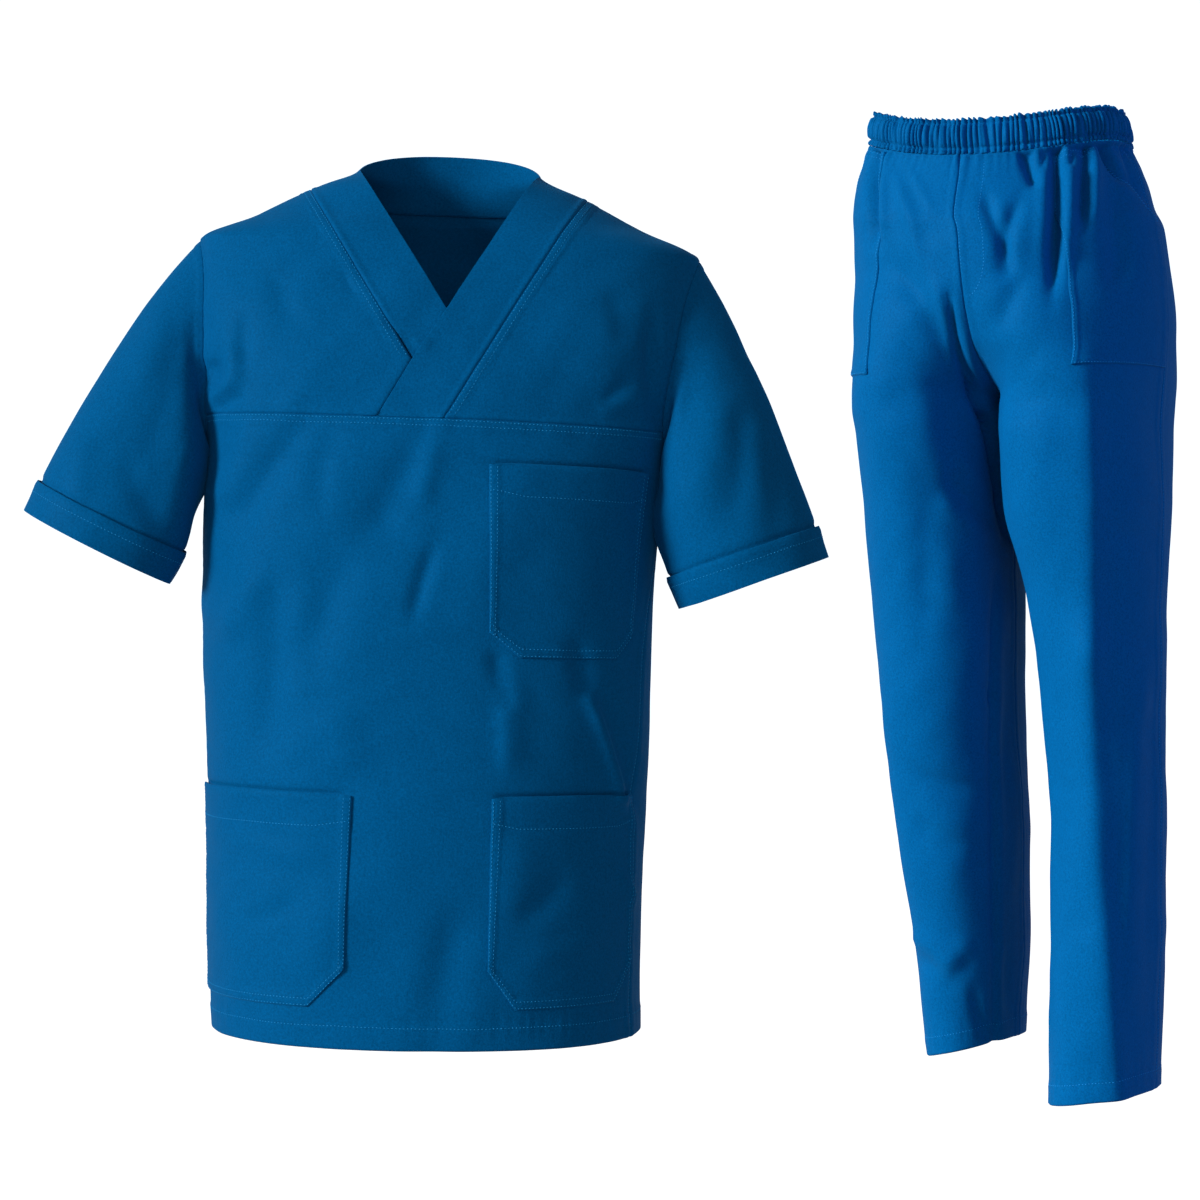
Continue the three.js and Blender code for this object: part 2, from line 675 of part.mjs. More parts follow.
function addMesh(parent, name, geometry, colour) {
  const material = new THREE.MeshStandardMaterial({ color: colour, roughness: 0.75, metalness: 0 });
  const mesh = new THREE.Mesh(geometry, material);
  mesh.name = name;
  parent.add(mesh);
}

function addPanel(parent, sheet, wall, colour) {
  const geometry = wallGeometry(
    drawnIn(sheet, SEAM_INSET),
    sheet.normals,
    sheetFaces(sheet),
    () => wall / 2,
    () => -wall / 2,
  );
  addMesh(parent, sheet.name, geometry, colour);
}

// Faces of the cells of a panel that a pocket covers; a cut cell keeps one of its triangles
function coveredFaces(sheet, covers) {
  const faces = [];
  for (let i = 0; i < sheet.rows; i += 1) {
    for (let j = 0; j < sheet.columns; j += 1) {
      cellFaces(sheet, i, j).forEach((face, half) => {
        if (covers(i, j, half)) {
          faces.push(sheet.reversed ? [face[0], face[2], face[1]] : face);
        }
      });
    }
  }
  return faces;
}

// A pocket made from its panel's own points, moved out
function addPocket(parent, name, sheet, faces, points, colour) {
  const inner = WALL / 2 + LAY_GAP;
  const geometry = wallGeometry(points, sheet.normals, faces, () => inner + POCKET_WALL, () => inner);
  addMesh(parent, name, geometry, colour);
}

// Tunic: body pieces
const torsoHeart = (point) => new THREE.Vector3(0, 0, point.z);
const FRONT_COLUMN_COUNT = YOKE_COLUMNS.right + BAND_COLUMNS + YOKE_COLUMNS.left;
const front = sheetOf(
  "tunic_front",
  PIT_ROWS + LOWER_COUNT,
  FRONT_COLUMN_COUNT,
  onTorso(frontGrid),
  torsoHeart,
);
const hipRight = TUNIC_POCKETS[1];
front.turned = (i, j) =>
  j >= TURNED_FROM_COLUMN || (i === PIT_ROWS + hipRight.foot - 1 && j === hipRight.last - 1);

const yokeRight = sheetOf(
  "tunic_yoke_right",
  YOKE_ROWS,
  YOKE_COLUMNS.right,
  onTorso(
    spreadPatch(
      YOKE_ROWS,
      YOKE_COLUMNS.right,
      (j) => shoulderSeam("right", j),
      (j) => frontGrid(0, j),
      (i) => armholeFront("right", i),
      (i) => yokeInner("right", i),
    ),
  ),
  torsoHeart,
);
const yokeLeft = sheetOf(
  "tunic_yoke_left",
  YOKE_ROWS,
  YOKE_COLUMNS.left,
  onTorso(
    spreadPatch(
      YOKE_ROWS,
      YOKE_COLUMNS.left,
      (j) => shoulderSeam("left", j),
      (j) => frontGrid(0, FRONT_COLUMN_COUNT - j),
      (i) => armholeFront("left", i),
      (i) => yokeInner("left", i),
    ),
  ),
  torsoHeart,
);

// Edge of the band at the shoulder, from the yoke's corner up to the neck point
function bandTop(side, j) {
  return { q: SIGN[side], z: SHOULDER_BAND_Z * (1 - j / BAND_COLUMNS) };
}

const bandLeft = sheetOf(
  "band_left",
  YOKE_ROWS,
  BAND_COLUMNS,
  onTorso(
    spreadPatch(
      YOKE_ROWS,
      BAND_COLUMNS,
      (j) => bandTop("left", j),
      (j) => frontGrid(0, YOKE_COLUMNS.right + BAND_COLUMNS - j),
      (i) => yokeInner("left", i),
      (i) => bandLine(BAND_INNER_LEFT, i),
    ),
  ),
  torsoHeart,
);

// The right band ends on the left band's edge, then runs on a little way under it
const bandRight = sheetOf(
  "band_right",
  BAND_MEET_ROW + 1,
  BAND_COLUMNS,
  onTorso(
    spreadPatch(
      BAND_MEET_ROW + 1,
      BAND_COLUMNS,
      (j) => bandTop("right", j),
      (j) => {
        const share = j / BAND_COLUMNS;
        const start = BAND_OUTER_RIGHT[2];
        const end = BAND_INNER_RIGHT[2];
        const z = start.z + (end.z - start.z) * share;
        return { q: frontTurn(start.x + (end.x - start.x) * share, z), z };
      },
      (i) => bandLine(BAND_OUTER_RIGHT, i),
      (i) => bandLine(BAND_INNER_RIGHT, i),
    ),
  ),
  torsoHeart,
);

// Back neck: the seam under the band, and its top edge
function backNeckSeam(j) {
  const share = j / BACK_BAND_COLUMNS;
  const middle = 1 - (2 * share - 1) ** 2;
  return { q: -1 - 2 * share, z: SHOULDER_BAND_Z + (BACK_BAND_LOW_Z - SHOULDER_BAND_Z) * middle };
}

function backNeckTop(j) {
  const share = j / BACK_BAND_COLUMNS;
  const middle = 1 - (2 * share - 1) ** 2;
  return { q: -1 - 2 * share, z: BACK_NECK_RISE * middle };
}

const bandBack = sheetOf(
  "band_back",
  BAND_COLUMNS,
  BACK_BAND_COLUMNS,
  onTorso(
    patch(
      BAND_COLUMNS,
      BACK_BAND_COLUMNS,
      backNeckSeam,
      backNeckTop,
      (i) => bandTop("right", i),
      (i) => ({ q: -3, z: bandTop("left", i).z }),
    ),
  ),
  torsoHeart,
);

// The back's top edge: right shoulder, neck seam, left shoulder
const BACK_COLUMNS = YOKE_COLUMNS.right + BACK_BAND_COLUMNS + YOKE_COLUMNS.left;
function backTop(j) {
  if (j <= YOKE_COLUMNS.right) {
    return shoulderSeam("right", j);
  }
  if (j <= YOKE_COLUMNS.right + BACK_BAND_COLUMNS) {
    return backNeckSeam(j - YOKE_COLUMNS.right);
  }
  return { q: -3, z: shoulderSeam("left", BACK_COLUMNS - j).z };
}

function backRow(i, j) {
  const start = sideSeam("right", i - ARM_ROWS);
  const end = sideSeam("left", i - ARM_ROWS).q - 4;
  return { q: start.q + ((end - start.q) * j) / BACK_COLUMNS, z: start.z };
}

const backShoulders = spreadPatch(
  ARM_ROWS,
  BACK_COLUMNS,
  backTop,
  (j) => backRow(ARM_ROWS, j),
  (i) => armholeBack("right", i),
  (i) => ({ q: armholeBack("left", i).q - 4, z: armholeBack("left", i).z }),
  true,
);

const back = sheetOf(
  "tunic_back",
  ARM_ROWS + LOWER_COUNT,
  BACK_COLUMNS,
  onTorso((i, j) => (i < ARM_ROWS ? backShoulders(i, j) : backRow(i, j))),
  torsoHeart,
);

// Sleeves: round the armhole from the shoulder tip, down the front, and up the back
const SLEEVE_COLUMNS = 2 * ARM_ROWS;
function sleeveFrame(side, j) {
  const shape = SLEEVE[side];
  const inFront = j <= ARM_ROWS;
  const at = inFront ? armholeFront(side, j) : armholeBack(side, SLEEVE_COLUMNS - j);
  const start = torsoPoint(at.q, at.z);
  const angle = (2 * Math.PI * j) / SLEEVE_COLUMNS;
  const lowness = (1 - Math.cos(angle)) / 2;
  const end = shape.mouth
    .clone()
    .addScaledVector(shape.across, shape.halfWidth * Math.cos(angle))
    .add(new THREE.Vector3(0, -shape.halfDepth * Math.sin(angle), 0));
  const way = shape.startTop.clone().lerp(shape.startPit, lowness).normalize();
  const endWay = shape.down.clone().lerp(shape.innerDown, lowness).normalize();
  const startReach = SLEEVE_REACH.top + (SLEEVE_REACH.pit - SLEEVE_REACH.top) * lowness;
  const endReach = SLEEVE_REACH.outerEnd + (SLEEVE_REACH.innerEnd - SLEEVE_REACH.outerEnd) * lowness;
  const startHandle = start.clone().addScaledVector(way, startReach);
  const endHandle = end.clone().addScaledVector(endWay, -endReach);
  return { start, startHandle, endHandle, end };
}

function sleeveCurve(side, j, t) {
  const frame = sleeveFrame(side, j);
  return cubic(frame.start, frame.startHandle, frame.endHandle, frame.end, t);
}

// Share of the curve at which the cuff starts
function cuffStart(side, j) {
  let t = 1;
  let length = 0;
  let last = sleeveCurve(side, j, t);
  while (length < CUFF_HEIGHT && t > CURVE_STEP) {
    t -= CURVE_STEP;
    const next = sleeveCurve(side, j, t);
    length += next.distanceTo(last);
    last = next;
  }
  return t;
}

function sleevePoint(side) {
  return (i, j) => {
    if (i === SLEEVE_ROWS) {
      return sleeveCurve(side, j, 1);
    }
    return sleeveCurve(side, j, (cuffStart(side, j) * i) / (SLEEVE_ROWS - 1));
  };
}

function sleeveHeart(side) {
  return (point) => {
    const shape = SLEEVE[side];
    const back = new THREE.Vector3().subVectors(point, shape.mouth).dot(shape.down);
    return shape.mouth.clone().addScaledVector(shape.down, back);
  };
}

const sleeves = ["right", "left"].map((side) => {
  const pointAt = sleevePoint(side);
  return sheetOf(`sleeve_${side}`, SLEEVE_ROWS, SLEEVE_COLUMNS, pointAt, sleeveHeart(side), true);
});

// Tunic: join, fold and thicken
const tunicSheets = [front, yokeRight, yokeLeft, bandRight, bandLeft, bandBack, back, ...sleeves];
foldSheets(tunicSheets, TUNIC_FOLDS, 0);
for (let j = 0; j <= BAND_COLUMNS; j += 1) {
  [BAND_MEET_ROW, BAND_MEET_ROW + 1].forEach((i) => {
    const n = bandRight.index(i, j);
    bandRight.points[n].addScaledVector(bandRight.normals[n], -BAND_DIVE);
  });
}
[front, yokeRight, yokeLeft, back, ...sleeves].forEach((sheet) => {
  addPanel(tunic, sheet, WALL, TUNIC_BLUE);
});
[bandRight, bandLeft, bandBack].forEach((sheet) => {
  addPanel(tunic, sheet, BAND_WALL, TUNIC_BLUE);
});

// Cuffs: the end of each sleeve again, turned up outside it
sleeves.forEach((sheet) => {
  const faces = coveredFaces(sheet, (i) => i === SLEEVE_ROWS - 1);
  addPocket(tunic, sheet.name.replace("sleeve", "cuff"), sheet, faces, sheet.points, TUNIC_BLUE);
});

// Tunic pockets
TUNIC_POCKETS.forEach((pocket) => {
  const top = PIT_ROWS + pocket.top;
  const foot = PIT_ROWS + pocket.foot;
  const faces = coveredFaces(front, (i, j, half) => {
    const inside = i >= top && i < foot && j >= pocket.first && j < pocket.last;
    const cutFirst = pocket.cuts[0] && i === foot - 1 && j === pocket.first && half === 1;
    const cutLast = pocket.cuts[1] && i === foot - 1 && j === pocket.last - 1 && half === 1;
    return inside && !cutFirst && !cutLast;
  });
  const points = front.points.map((point) => point.clone());
  const outer = pocket.first === 0 ? pocket.first : pocket.last;
  const step = pocket.first === 0 ? 1 : -1;
  for (let i = top; i <= foot; i += 1) {
    points[front.index(i, outer)].lerp(front.points[front.index(i, outer + step)], pocket.margin);
  }
  addPocket(tunic, pocket.name, front, faces, points, TUNIC_BLUE);
});

// Trousers: one row of a leg, as its outseam, its rise or inseam, and its fullness
function legRows(side) {
  const leg = LEG[side].map((row) => ({
    n: row.n,
    outX: row.mid + row.half,
    outY: row.y,
    outZ: row.outZ,
    inX: row.mid - row.half,
    frontY: row.y,
    frontZ: row.inZ,
    backY: row.y,
    backZ: row.inZ,
    frontReach: row.front,
    backReach: row.back,
    corner: FULL_LOOP,
    turn: 90,
    lean: 0,
  }));
  return [...TRUNK.map((row) => ({ ...row, inX: 0 })), ...leg];
}
const LEG_ROWS = { right: legRows("right"), left: legRows("left") };

// From the trousers' own frame to the frame of the set
function placeTrousers(x, y, z, lean) {
  const cos = Math.cos(TROUSERS_TURN);
  const sin = Math.sin(TROUSERS_TURN);
  const across = x * cos + y * sin;
  const high = smooth((z - SLOPE_END_Z) / (WAIST_SEAM_Z - SLOPE_END_Z));
  const forward = Math.min(0, y) / WAIST_DIP_REACH;
  const lift = high * (WAIST_SLOPE * across - WAIST_DIP * forward * forward);
  return new THREE.Vector3(TROUSERS_X + across + lean, TROUSERS_Y - x * sin + y * cos, z + lift);
}

// Share of a panel's width, from the outseam, at one of its columns
function panelShare(face, i, j) {
  if (face === "back") {
    return j / BACK_PANEL_COLUMNS;
  }
  const edge = readStraight(POCKET_EDGE, "n", "share", i);
  const past = (j - TROUSER_POCKET.columns) / (FRONT_PANEL_COLUMNS - TROUSER_POCKET.columns);
  return past < 0 ? (edge * j) / TROUSER_POCKET.columns : edge + (1 - edge) * past;
}

// A point of a trouser panel: row from the waist down, column from the outseam inwards
function trouserPoint(side, face, i, j) {
  const t = panelShare(face, i, j);
  const rows = LEG_ROWS[side];
  const at = (key) => read(rows, "n", key, i);
  const forward = face === "front" ? -1 : 1;
  const reach = at(`${face}Reach`);
  const turn = (at("turn") * Math.PI) / 180;
  const corner = at("corner");
  const out = new THREE.Vector3(at("outX"), at("outY"), at("outZ"));
  const inside = new THREE.Vector3(at("inX"), at(`${face}Y`), at(`${face}Z`));
  const outHandle = out.clone().add(new THREE.Vector3(0, forward * corner * reach, 0));
  const inHandle = inside
    .clone()
    .add(
      new THREE.Vector3(
        corner * Math.cos(turn) * (out.x - inside.x),
        forward * corner * Math.sin(turn) * reach,
        0,
      ),
    );
  const point = cubic(out, outHandle, inHandle, inside, t);
  return placeTrousers(SIGN[side] * point.x, point.y, point.z, at("lean"));
}

// Heart of a trouser panel: the middle of its own leg or half of the seat
const LEG_MIDDLE = 70;
function trouserHeart(side) {
  return (point) => placeTrousers(SIGN[side] * LEG_MIDDLE, 0, point.z, 0).setZ(point.z);
}

const trouserSheets = [];
["right", "left"].forEach((side) => {
  ["front", "back"].forEach((face) => {
    const columns = face === "front" ? FRONT_PANEL_COLUMNS : BACK_PANEL_COLUMNS;
    const sheet = sheetOf(
      `trousers_${face}_${side}`,
      TROUSER_ROWS,
      columns,
      (i, j) => trouserPoint(side, face, i, j),
      trouserHeart(side),
    );
    sheet.turned = (i, j) =>
      i + j < TROUSER_POCKET.mouth || (i >= TURNED_ROWS.first && i <= TURNED_ROWS.last);
    trouserSheets.push(sheet);
  });
});
foldSheets(trouserSheets, TROUSER_FOLDS, TROUSERS_X);
trouserSheets.forEach((sheet) => addPanel(trousers, sheet, WALL, TROUSER_BLUE));

// Trouser pockets: slanted mouth from the waist seam to the outseam
trouserSheets
  .filter((sheet) => sheet.name.includes("front"))
  .forEach((sheet) => {
    const { foot, columns, mouth } = TROUSER_POCKET;
    const faces = coveredFaces(sheet, (i, j, half) => {
      const inside = i < foot && j < columns;
      const pastMouth = i + j > mouth - 1 || (i + j === mouth - 1 && half === 1);
      return inside && pastMouth;
    });
    const points = sheet.points.map((point) => point.clone());
    for (let j = 0; j <= columns; j += 1) {
      points[sheet.index(0, j)].lerp(sheet.points[sheet.index(1, j)], TROUSER_POCKET.topMargin);
    }
    const name = sheet.name.replace("trousers_front", "trouser_pocket");
    addPocket(trousers, name, sheet, faces, points, TROUSER_BLUE);
  });

// Waistband: a ring whose outer face stands up in gathers
function waistbandPoint(i, j) {
  const ring = WAISTBAND_RINGS[i];
  const turn = (4 * j) / (2 * GATHERS);
  const quarter = Math.floor(turn);
  const t = turn - quarter;
  const s = 1 - t;
  const towardSide = quarter % 2 === 0;
  const across = ring.half * acrossShare(towardSide ? t : s, ring.corner);
  const deep = acrossShare(towardSide ? s : t, ring.corner);
  const x = quarter < 2 ? across : -across;
  const y = quarter === 0 || quarter === 3 ? -ring.front * deep : ring.back * deep;
  return placeTrousers(x, y, ring.z, ring.lean);
}

const waistband = sheetOf(
  "waistband",
  WAISTBAND_RINGS.length - 1,
  2 * GATHERS,
  waistbandPoint,
  (point) => placeTrousers(0, 0, point.z, 0).setZ(point.z),
  true,
);
weldNormals([waistband]);
addMesh(
  trousers,
  waistband.name,
  wallGeometry(
    waistband.points,
    waistband.normals,
    sheetFaces(waistband),
    (n) => WAISTBAND_WALL / 2 + (n % 2) * GATHER_RISE,
    () => -WAISTBAND_WALL / 2,
  ),
  TROUSER_BLUE,
);

export default scrubs;
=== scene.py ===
import math

import bpy
import numpy as np
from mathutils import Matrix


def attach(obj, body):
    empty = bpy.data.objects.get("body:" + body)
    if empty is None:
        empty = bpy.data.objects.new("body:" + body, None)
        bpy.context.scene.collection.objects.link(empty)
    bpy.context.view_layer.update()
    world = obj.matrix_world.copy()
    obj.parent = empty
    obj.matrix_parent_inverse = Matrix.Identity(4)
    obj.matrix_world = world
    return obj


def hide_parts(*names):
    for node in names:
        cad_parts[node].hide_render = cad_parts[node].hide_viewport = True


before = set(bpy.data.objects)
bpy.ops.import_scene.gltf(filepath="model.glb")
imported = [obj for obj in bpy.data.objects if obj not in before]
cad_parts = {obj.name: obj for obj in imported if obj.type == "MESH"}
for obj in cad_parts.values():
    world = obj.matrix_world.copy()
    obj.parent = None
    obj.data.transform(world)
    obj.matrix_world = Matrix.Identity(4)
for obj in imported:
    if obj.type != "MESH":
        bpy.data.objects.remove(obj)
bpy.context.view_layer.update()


def table(names, *rows):
    """A short table as one array per named column."""
    columns = zip(*rows)
    return {name: np.array(column, float) for name, column in zip(names.split(), columns)}


# Cloth
CLOTH_WALL = 1.0
BAND_WALL = 1.5
LAID_WALL = 0.9
CAD_HALF_WALL = 0.8
LAY_GAP = 0.4
BAND_DIVE = 2.7

# Tunic sizes
SHOULDER_TIP_Z = -72
SHOULDER_BAND_Z = -21
BACK_NECK_RISE = 25
BACK_BAND_LOW_Z = -27
ARMHOLE_CENTRE_Z = -172
ARMHOLE_HALF_HEIGHT = 100
ARMHOLE_FRONT_BULGE = {"right": 0.25, "left": 0.28}
ARMHOLE_BACK_BULGE = 0.26
CHEST_SEAM_Z = -233
CHEST_SEAM_TURN = math.acos((CHEST_SEAM_Z - ARMHOLE_CENTRE_Z) / ARMHOLE_HALF_HEIGHT) / math.pi
SIDE_SEAM_FORWARD = {"right": 0, "left": 0.21}
SIDE_SEAM_SETTLE = 200
CUFF_HEIGHT = 28.5
YOKE_ROWS = 9
PIT_ROWS = 4
ARM_ROWS = YOKE_ROWS + PIT_ROWS
YOKE_COLUMNS = {"right": 7, "left": 8}
BAND_COLUMNS = 2
BAND_MEET_ROW = 7
BACK_BAND_COLUMNS = 10
SLEEVE_ROWS = 7
SLEEVE_COLUMNS = 2 * ARM_ROWS
FRONT_COLUMN_COUNT = YOKE_COLUMNS["right"] + BAND_COLUMNS + YOKE_COLUMNS["left"]
BACK_COLUMNS = YOKE_COLUMNS["right"] + BACK_BAND_COLUMNS + YOKE_COLUMNS["left"]
SIGN = {"right": -1, "left": 1}

TORSO = table(
    "z centre half front back corner roll",
    (26, 0, 79, 46, 60, 0.56, 0.042),
    (0, 0, 83, 52, 68, 0.58, 0.042),
    (-21, 0, 127, 61, 77, 0.6, 0.042),
    (-46, 0, 175, 72, 92, 0.63, 0.042),
    (-72, 0, 228.5, 85, 106, 0.66, 0.042),
    (-150, -5, 228, 112, 124, 0.68, 0.042),
    (-272, -13, 210, 128, 130, 0.63, 0.04),
    (-325, -17.3, 207.5, 132, 129, 0.61, 0.036),
    (-457, -20, 204.5, 139, 131, 0.6, 0.026),
    (-575, -20.5, 200.5, 144, 134, 0.6, 0.02),
    (-697, -22.5, 197.5, 148, 138, 0.6, 0.015),
    (-783, -21, 195.5, 150, 140, 0.6, 0.014),
)
LOWER_ROW_Z = (-272, -309, -347, -384, -419, -441, -482, -523, -564, -602, -640, -678, -714, -748, -783)
LOWER_COUNT = len(LOWER_ROW_Z) - 1
FRONT_COLUMNS = table(
    "z cut right under over left chest",
    (-233, -137, -101, -57.2, 1.7, 41, 178),
    (-272, -135, -99, -56, 2, 41, 180),
    (-347, -131, -96, -54, 2.5, 41.3, 172),
    (-441, -126, -92, -52, 3, 41.6, 164),
    (-564, -109, -77, -46, 6, 43.5, 154),
    (-714, -116, -83.7, -48, 6, 40.2, 150),
    (-783, -117, -84, -48, 6, 40, 149),
)
BAND_OUTER_RIGHT = table("n x z", (0, -127, -21), (7, -27.4, -182), (8, -20, -193.9))
BAND_INNER_RIGHT = table("n x z", (0, -83, 0), (7, 3.4, -135.1), (8, 10.9, -146.9))
BAND_OUTER_LEFT = table("n x z", (0, 127, -21), (9, 1.7, -233))
BAND_INNER_LEFT = table("n x z", (0, 83, 0), (5.2, 3.4, -135.1), (7, -27.4, -182), (9, -57.2, -233))
SLEEVE = {
    "right": dict(
        mouth=(-318.5, -35, -343), half_width=71.5, half_depth=58, across=(-0.894, 0, 0.449),
        down=(-0.449, 0, -0.894), inner_down=(-0.47, 0, -0.883),
        start_top=(-0.8, 0, -0.6), start_pit=(-1, 0, 0.15),
    ),
    "left": dict(
        mouth=(277.5, -35, -376.5), half_width=70.5, half_depth=58, across=(0.945, 0, 0.325),
        down=(0.325, 0, -0.945), inner_down=(0.42, 0, -0.907),
        start_top=(0.58, 0, -0.815), start_pit=(1, 0, 0.15),
    ),
}
SLEEVE_REACH = dict(top=50, pit=22, outer_end=100, inner_end=88)

# Tunic pockets: rows and columns of the front, the cuts of the two foot corners, and the margin
TUNIC_POCKETS = {
    "chest_pocket": dict(top=0, foot=5, first=10, last=16, cuts=(1, 1), margins=(0, 0)),
    "hip_pocket_right": dict(top=8, foot=13, first=0, last=6, cuts=(0, 1), margins=(0.1, 0)),
    "hip_pocket_left": dict(top=8, foot=13, first=10, last=17, cuts=(1, 1), margins=(0, 0.1)),
}

# Trouser sizes
TROUSERS_X = 562
TROUSERS_Y = 300
TROUSERS_TURN = math.radians(31)
WAIST_SEAM_Z = 76
WAIST_DIP = 26
WAIST_DIP_REACH = 98.5
WAIST_SLOPE = -0.075
SLOPE_END_Z = -60
TROUSER_ROWS = 22
FRONT_PANEL_COLUMNS = 14
BACK_PANEL_COLUMNS = 10
FULL_LOOP = 4 / 3
LEG_MIDDLE = 70

TRUNK_COLUMNS = (
    "n outX outY outZ inX frontY frontZ backY backZ frontReach backReach corner turn lean"
)
TRUNK = (
    (0, 137, 0, 76, 0, -101, 76, 105, 76, 101, 105, 0.58, 0, -12.5),
    (1, 144, 0, 53, 0, -112, 53, 119, 53, 112, 119, 0.58, 0, -10),
    (2, 151, 0, 31, 0, -120, 31, 127, 31, 120, 127, 0.58, 0, -10),
    (3, 155, 0, 9, 0, -126, 9, 134, 9, 126, 134, 0.58, 0, -9),
    (4, 159.5, 0, -13, 0, -130, -13, 140, -13, 130.5, 140, 0.58, 0, -4),
    (5, 161.5, 0, -50, 0, -132, -50, 143, -48, 132.5, 143, 0.58, 0, -1),
    (6, 162, 0, -87, 0, -127, -90, 138, -86, 133, 144, 0.64, 15, 1),
    (7, 161.5, -1, -124, 0, -107, -131, 119, -124, 133, 144, 0.71, 40, 2),
    (8, 160.5, -2, -160, 0, -56, -168, 66, -162, 131, 141, 0.98, 68, 2),
    (9, 160, -3, -192, 0, 8, -198, 8, -198, 124, 132, 1.3333, 90, 1),
)
# Leg rows: row, middle, half width, reach forward and back, depth of the seams, and their heights
LEG = {
    "right": (
        (10, 80.5, 76, 122, 127, 4, -222, -224),
        (12, 80.5, 75.5, 111, 112, 15, -296, -296),
        (14, 79, 74, 100, 100, 22, -388, -388),
        (16, 78, 69, 95, 95, 32, -494, -494),
        (18, 73.2, 64.8, 87, 87, 43, -611, -611),
        (20, 68.2, 56.8, 77, 77, 56, -740, -740),
        (22, 66, 47, 66, 66, 64, -876, -851),
    ),
    "left": (
        (10, 82.5, 77.5, 124, 130, -3, -222, -224),
        (12, 85, 77, 115, 115, -5, -296, -296),
        (14, 96, 64, 89, 89, -8, -392, -392),
        (16, 104, 57.5, 77, 77, -10, -500, -500),
        (18, 110, 53, 72, 72, -12, -620, -620),
        (20, 109.5, 51.5, 73, 73, -14, -750, -750),
        (22, 105.5, 50.5, 72, 72, -15, -879, -898),
    ),
}
POCKET_EDGE = table(
    "n share",
    (0, 0.56), (3, 0.58), (5, 0.58), (6, 0.575), (7, 0.53), (8, 0.47), (9, 0.5), (12, 0.64), (22, 0.64),
)
TROUSER_POCKET = dict(foot=8, columns=9, mouth=4, top_margin=0.15)
WAISTBAND = table(
    "n z half front back corner lean",
    (0, 76.5, 137, 101, 105, 0.58, -12.5),
    (1, 94, 136, 100, 104, 0.58, -13.5),
    (2, 110.5, 130.5, 96, 99, 0.58, -14.5),
)
GATHERS = 136

# Camera
CAMERA = (138, -2500, -392)
LENS_MM = 81.5

# Creases of the tunic's front in the picture plane: from, to, bow, half width, depth, the strengths
# at its two ends, and how much wider it is on its right-hand side
CREASE = "x1 z1 x2 z2 bow wide deep start end skew"


def creases(*rows):
    return table(CREASE, *[row + (1,) * (10 - len(row)) for row in rows])


TUNIC_FRONT_CREASES = creases(
    (-10.1, -332.2, -37.7, -421.4, 2, 8, -4.3, 0.1, 0),
    (-78.2, -318.4, -184, -576, 12, 26, -7.4, 0.2, 0.3),
    (-172.9, -355.2, -207, -438, 0, 17, 4.7, 0, 0),
    (-120, -345, -150, -520, 6, 18, 4.7, 0, 0.2),
    (122.4, -472, 156.4, -570.5, -3, 6, 6.8, 0.1, 1),
    (133, -468, 170, -575, -3, 10, -5.4, 0.1, 1),
    (118.7, -444.4, 126, -485.8, 0, 9, -4.7, 1, 0),
    (44.2, -451.8, 54.3, -499.6, 0, 9, -4.1, 1, 0),
    (152.7, -638.6, 173, -676.3, 0, 4.5, 3.5, 0, 0),
    (10.1, -656, -10.1, -792.2, 3, 20, -4.3, 0, 0.6),
    (-182, -250.3, -207, -314, 3, 15, 4.6, 0.6, 0),
    (-138, -235.6, -202.4, -336.8, 4, 13, -4.6, 0.7, 0),
    (-9.2, -231, -27.6, -318.4, 3, 11, 3.2, 0.6, 0),
    (-27.6, -244.8, -73.6, -355.2, 5, 18, -4.3, 0.6, 0),
    (-201.5, -149.1, -204.2, -206.2, -4, 8, 5.4, 0.1, 0.2),
    (-219.9, -167.5, -213.4, -199.7, 0, 8, -4.7, 0, 0.2),
    (-158, -78, -145, -150, 3, 13, -2.4, 0, 0),
    (-188.6, -117, -188.6, -190, 2, 8, -3, 0, 0),
    (-221, -212, -196, -190, -3, 6, 3.2, 0.4, 0),
    (-216, -220, -186, -205, -3, 6, -2.4, 0.4, 0),
    (148, -100, 158, -165, -3, 11, -2.2, 0, 0, 1.6),
    (187, -130, 188, -215, 3, 8, -5.9, 0.2, 0.4),
    (138, -214, 186, -187, -6, 7, -2.3, 0, 0.2),
    (150, -196, 188, -172, -5, 8, -1.2, 0, 0.2),
    (132, -224, 182, -208, -4, 8, 1.4, 0, 0.2),
    (-98, -92, -84, -112, 2, 4, -1.5, 0.3, 0),
    (-62, -128, -44, -146, 3, 4, -1.6, 0.2, 0),
    (-36, -150, -14, -158, 3, 4, 1.5, 0.2, 0),
    (46, -445, 52, -565, -3, 9, 4.3, 0.2, 0, 2),
    (-244, -300, -222, -420, 6, 9, 4.1, 0, 0),
    (-112, -245, -118, -330, 4, 12, -2.7, 0.4, 0),
    (-160, -330, -176, -550, -5, 14, -3.2, 0, 0),
    (70, -600, 60, -700, 6, 24, 3.5, 0, 0),
    (-90, -640, -130, -760, 6, 24, 3.8, 0, 0),
    (-215, -610, -120, -640, -5, 9, 2.2, 0.2, 0),
    (-200, -690, -130, -660, 6, 10, -2.2, 0, 0),
    (50, -690, 110, -640, 8, 12, -2.7, 0, 0.2),
    (60, -720, 150, -690, 8, 10, 2, 0, 0.2),
    (-110, -480, -95, -560, -5, 22, 3.2, 0, 0),
    (60, -260, 20, -440, 6, 26, 3.5, 0, 0),
)


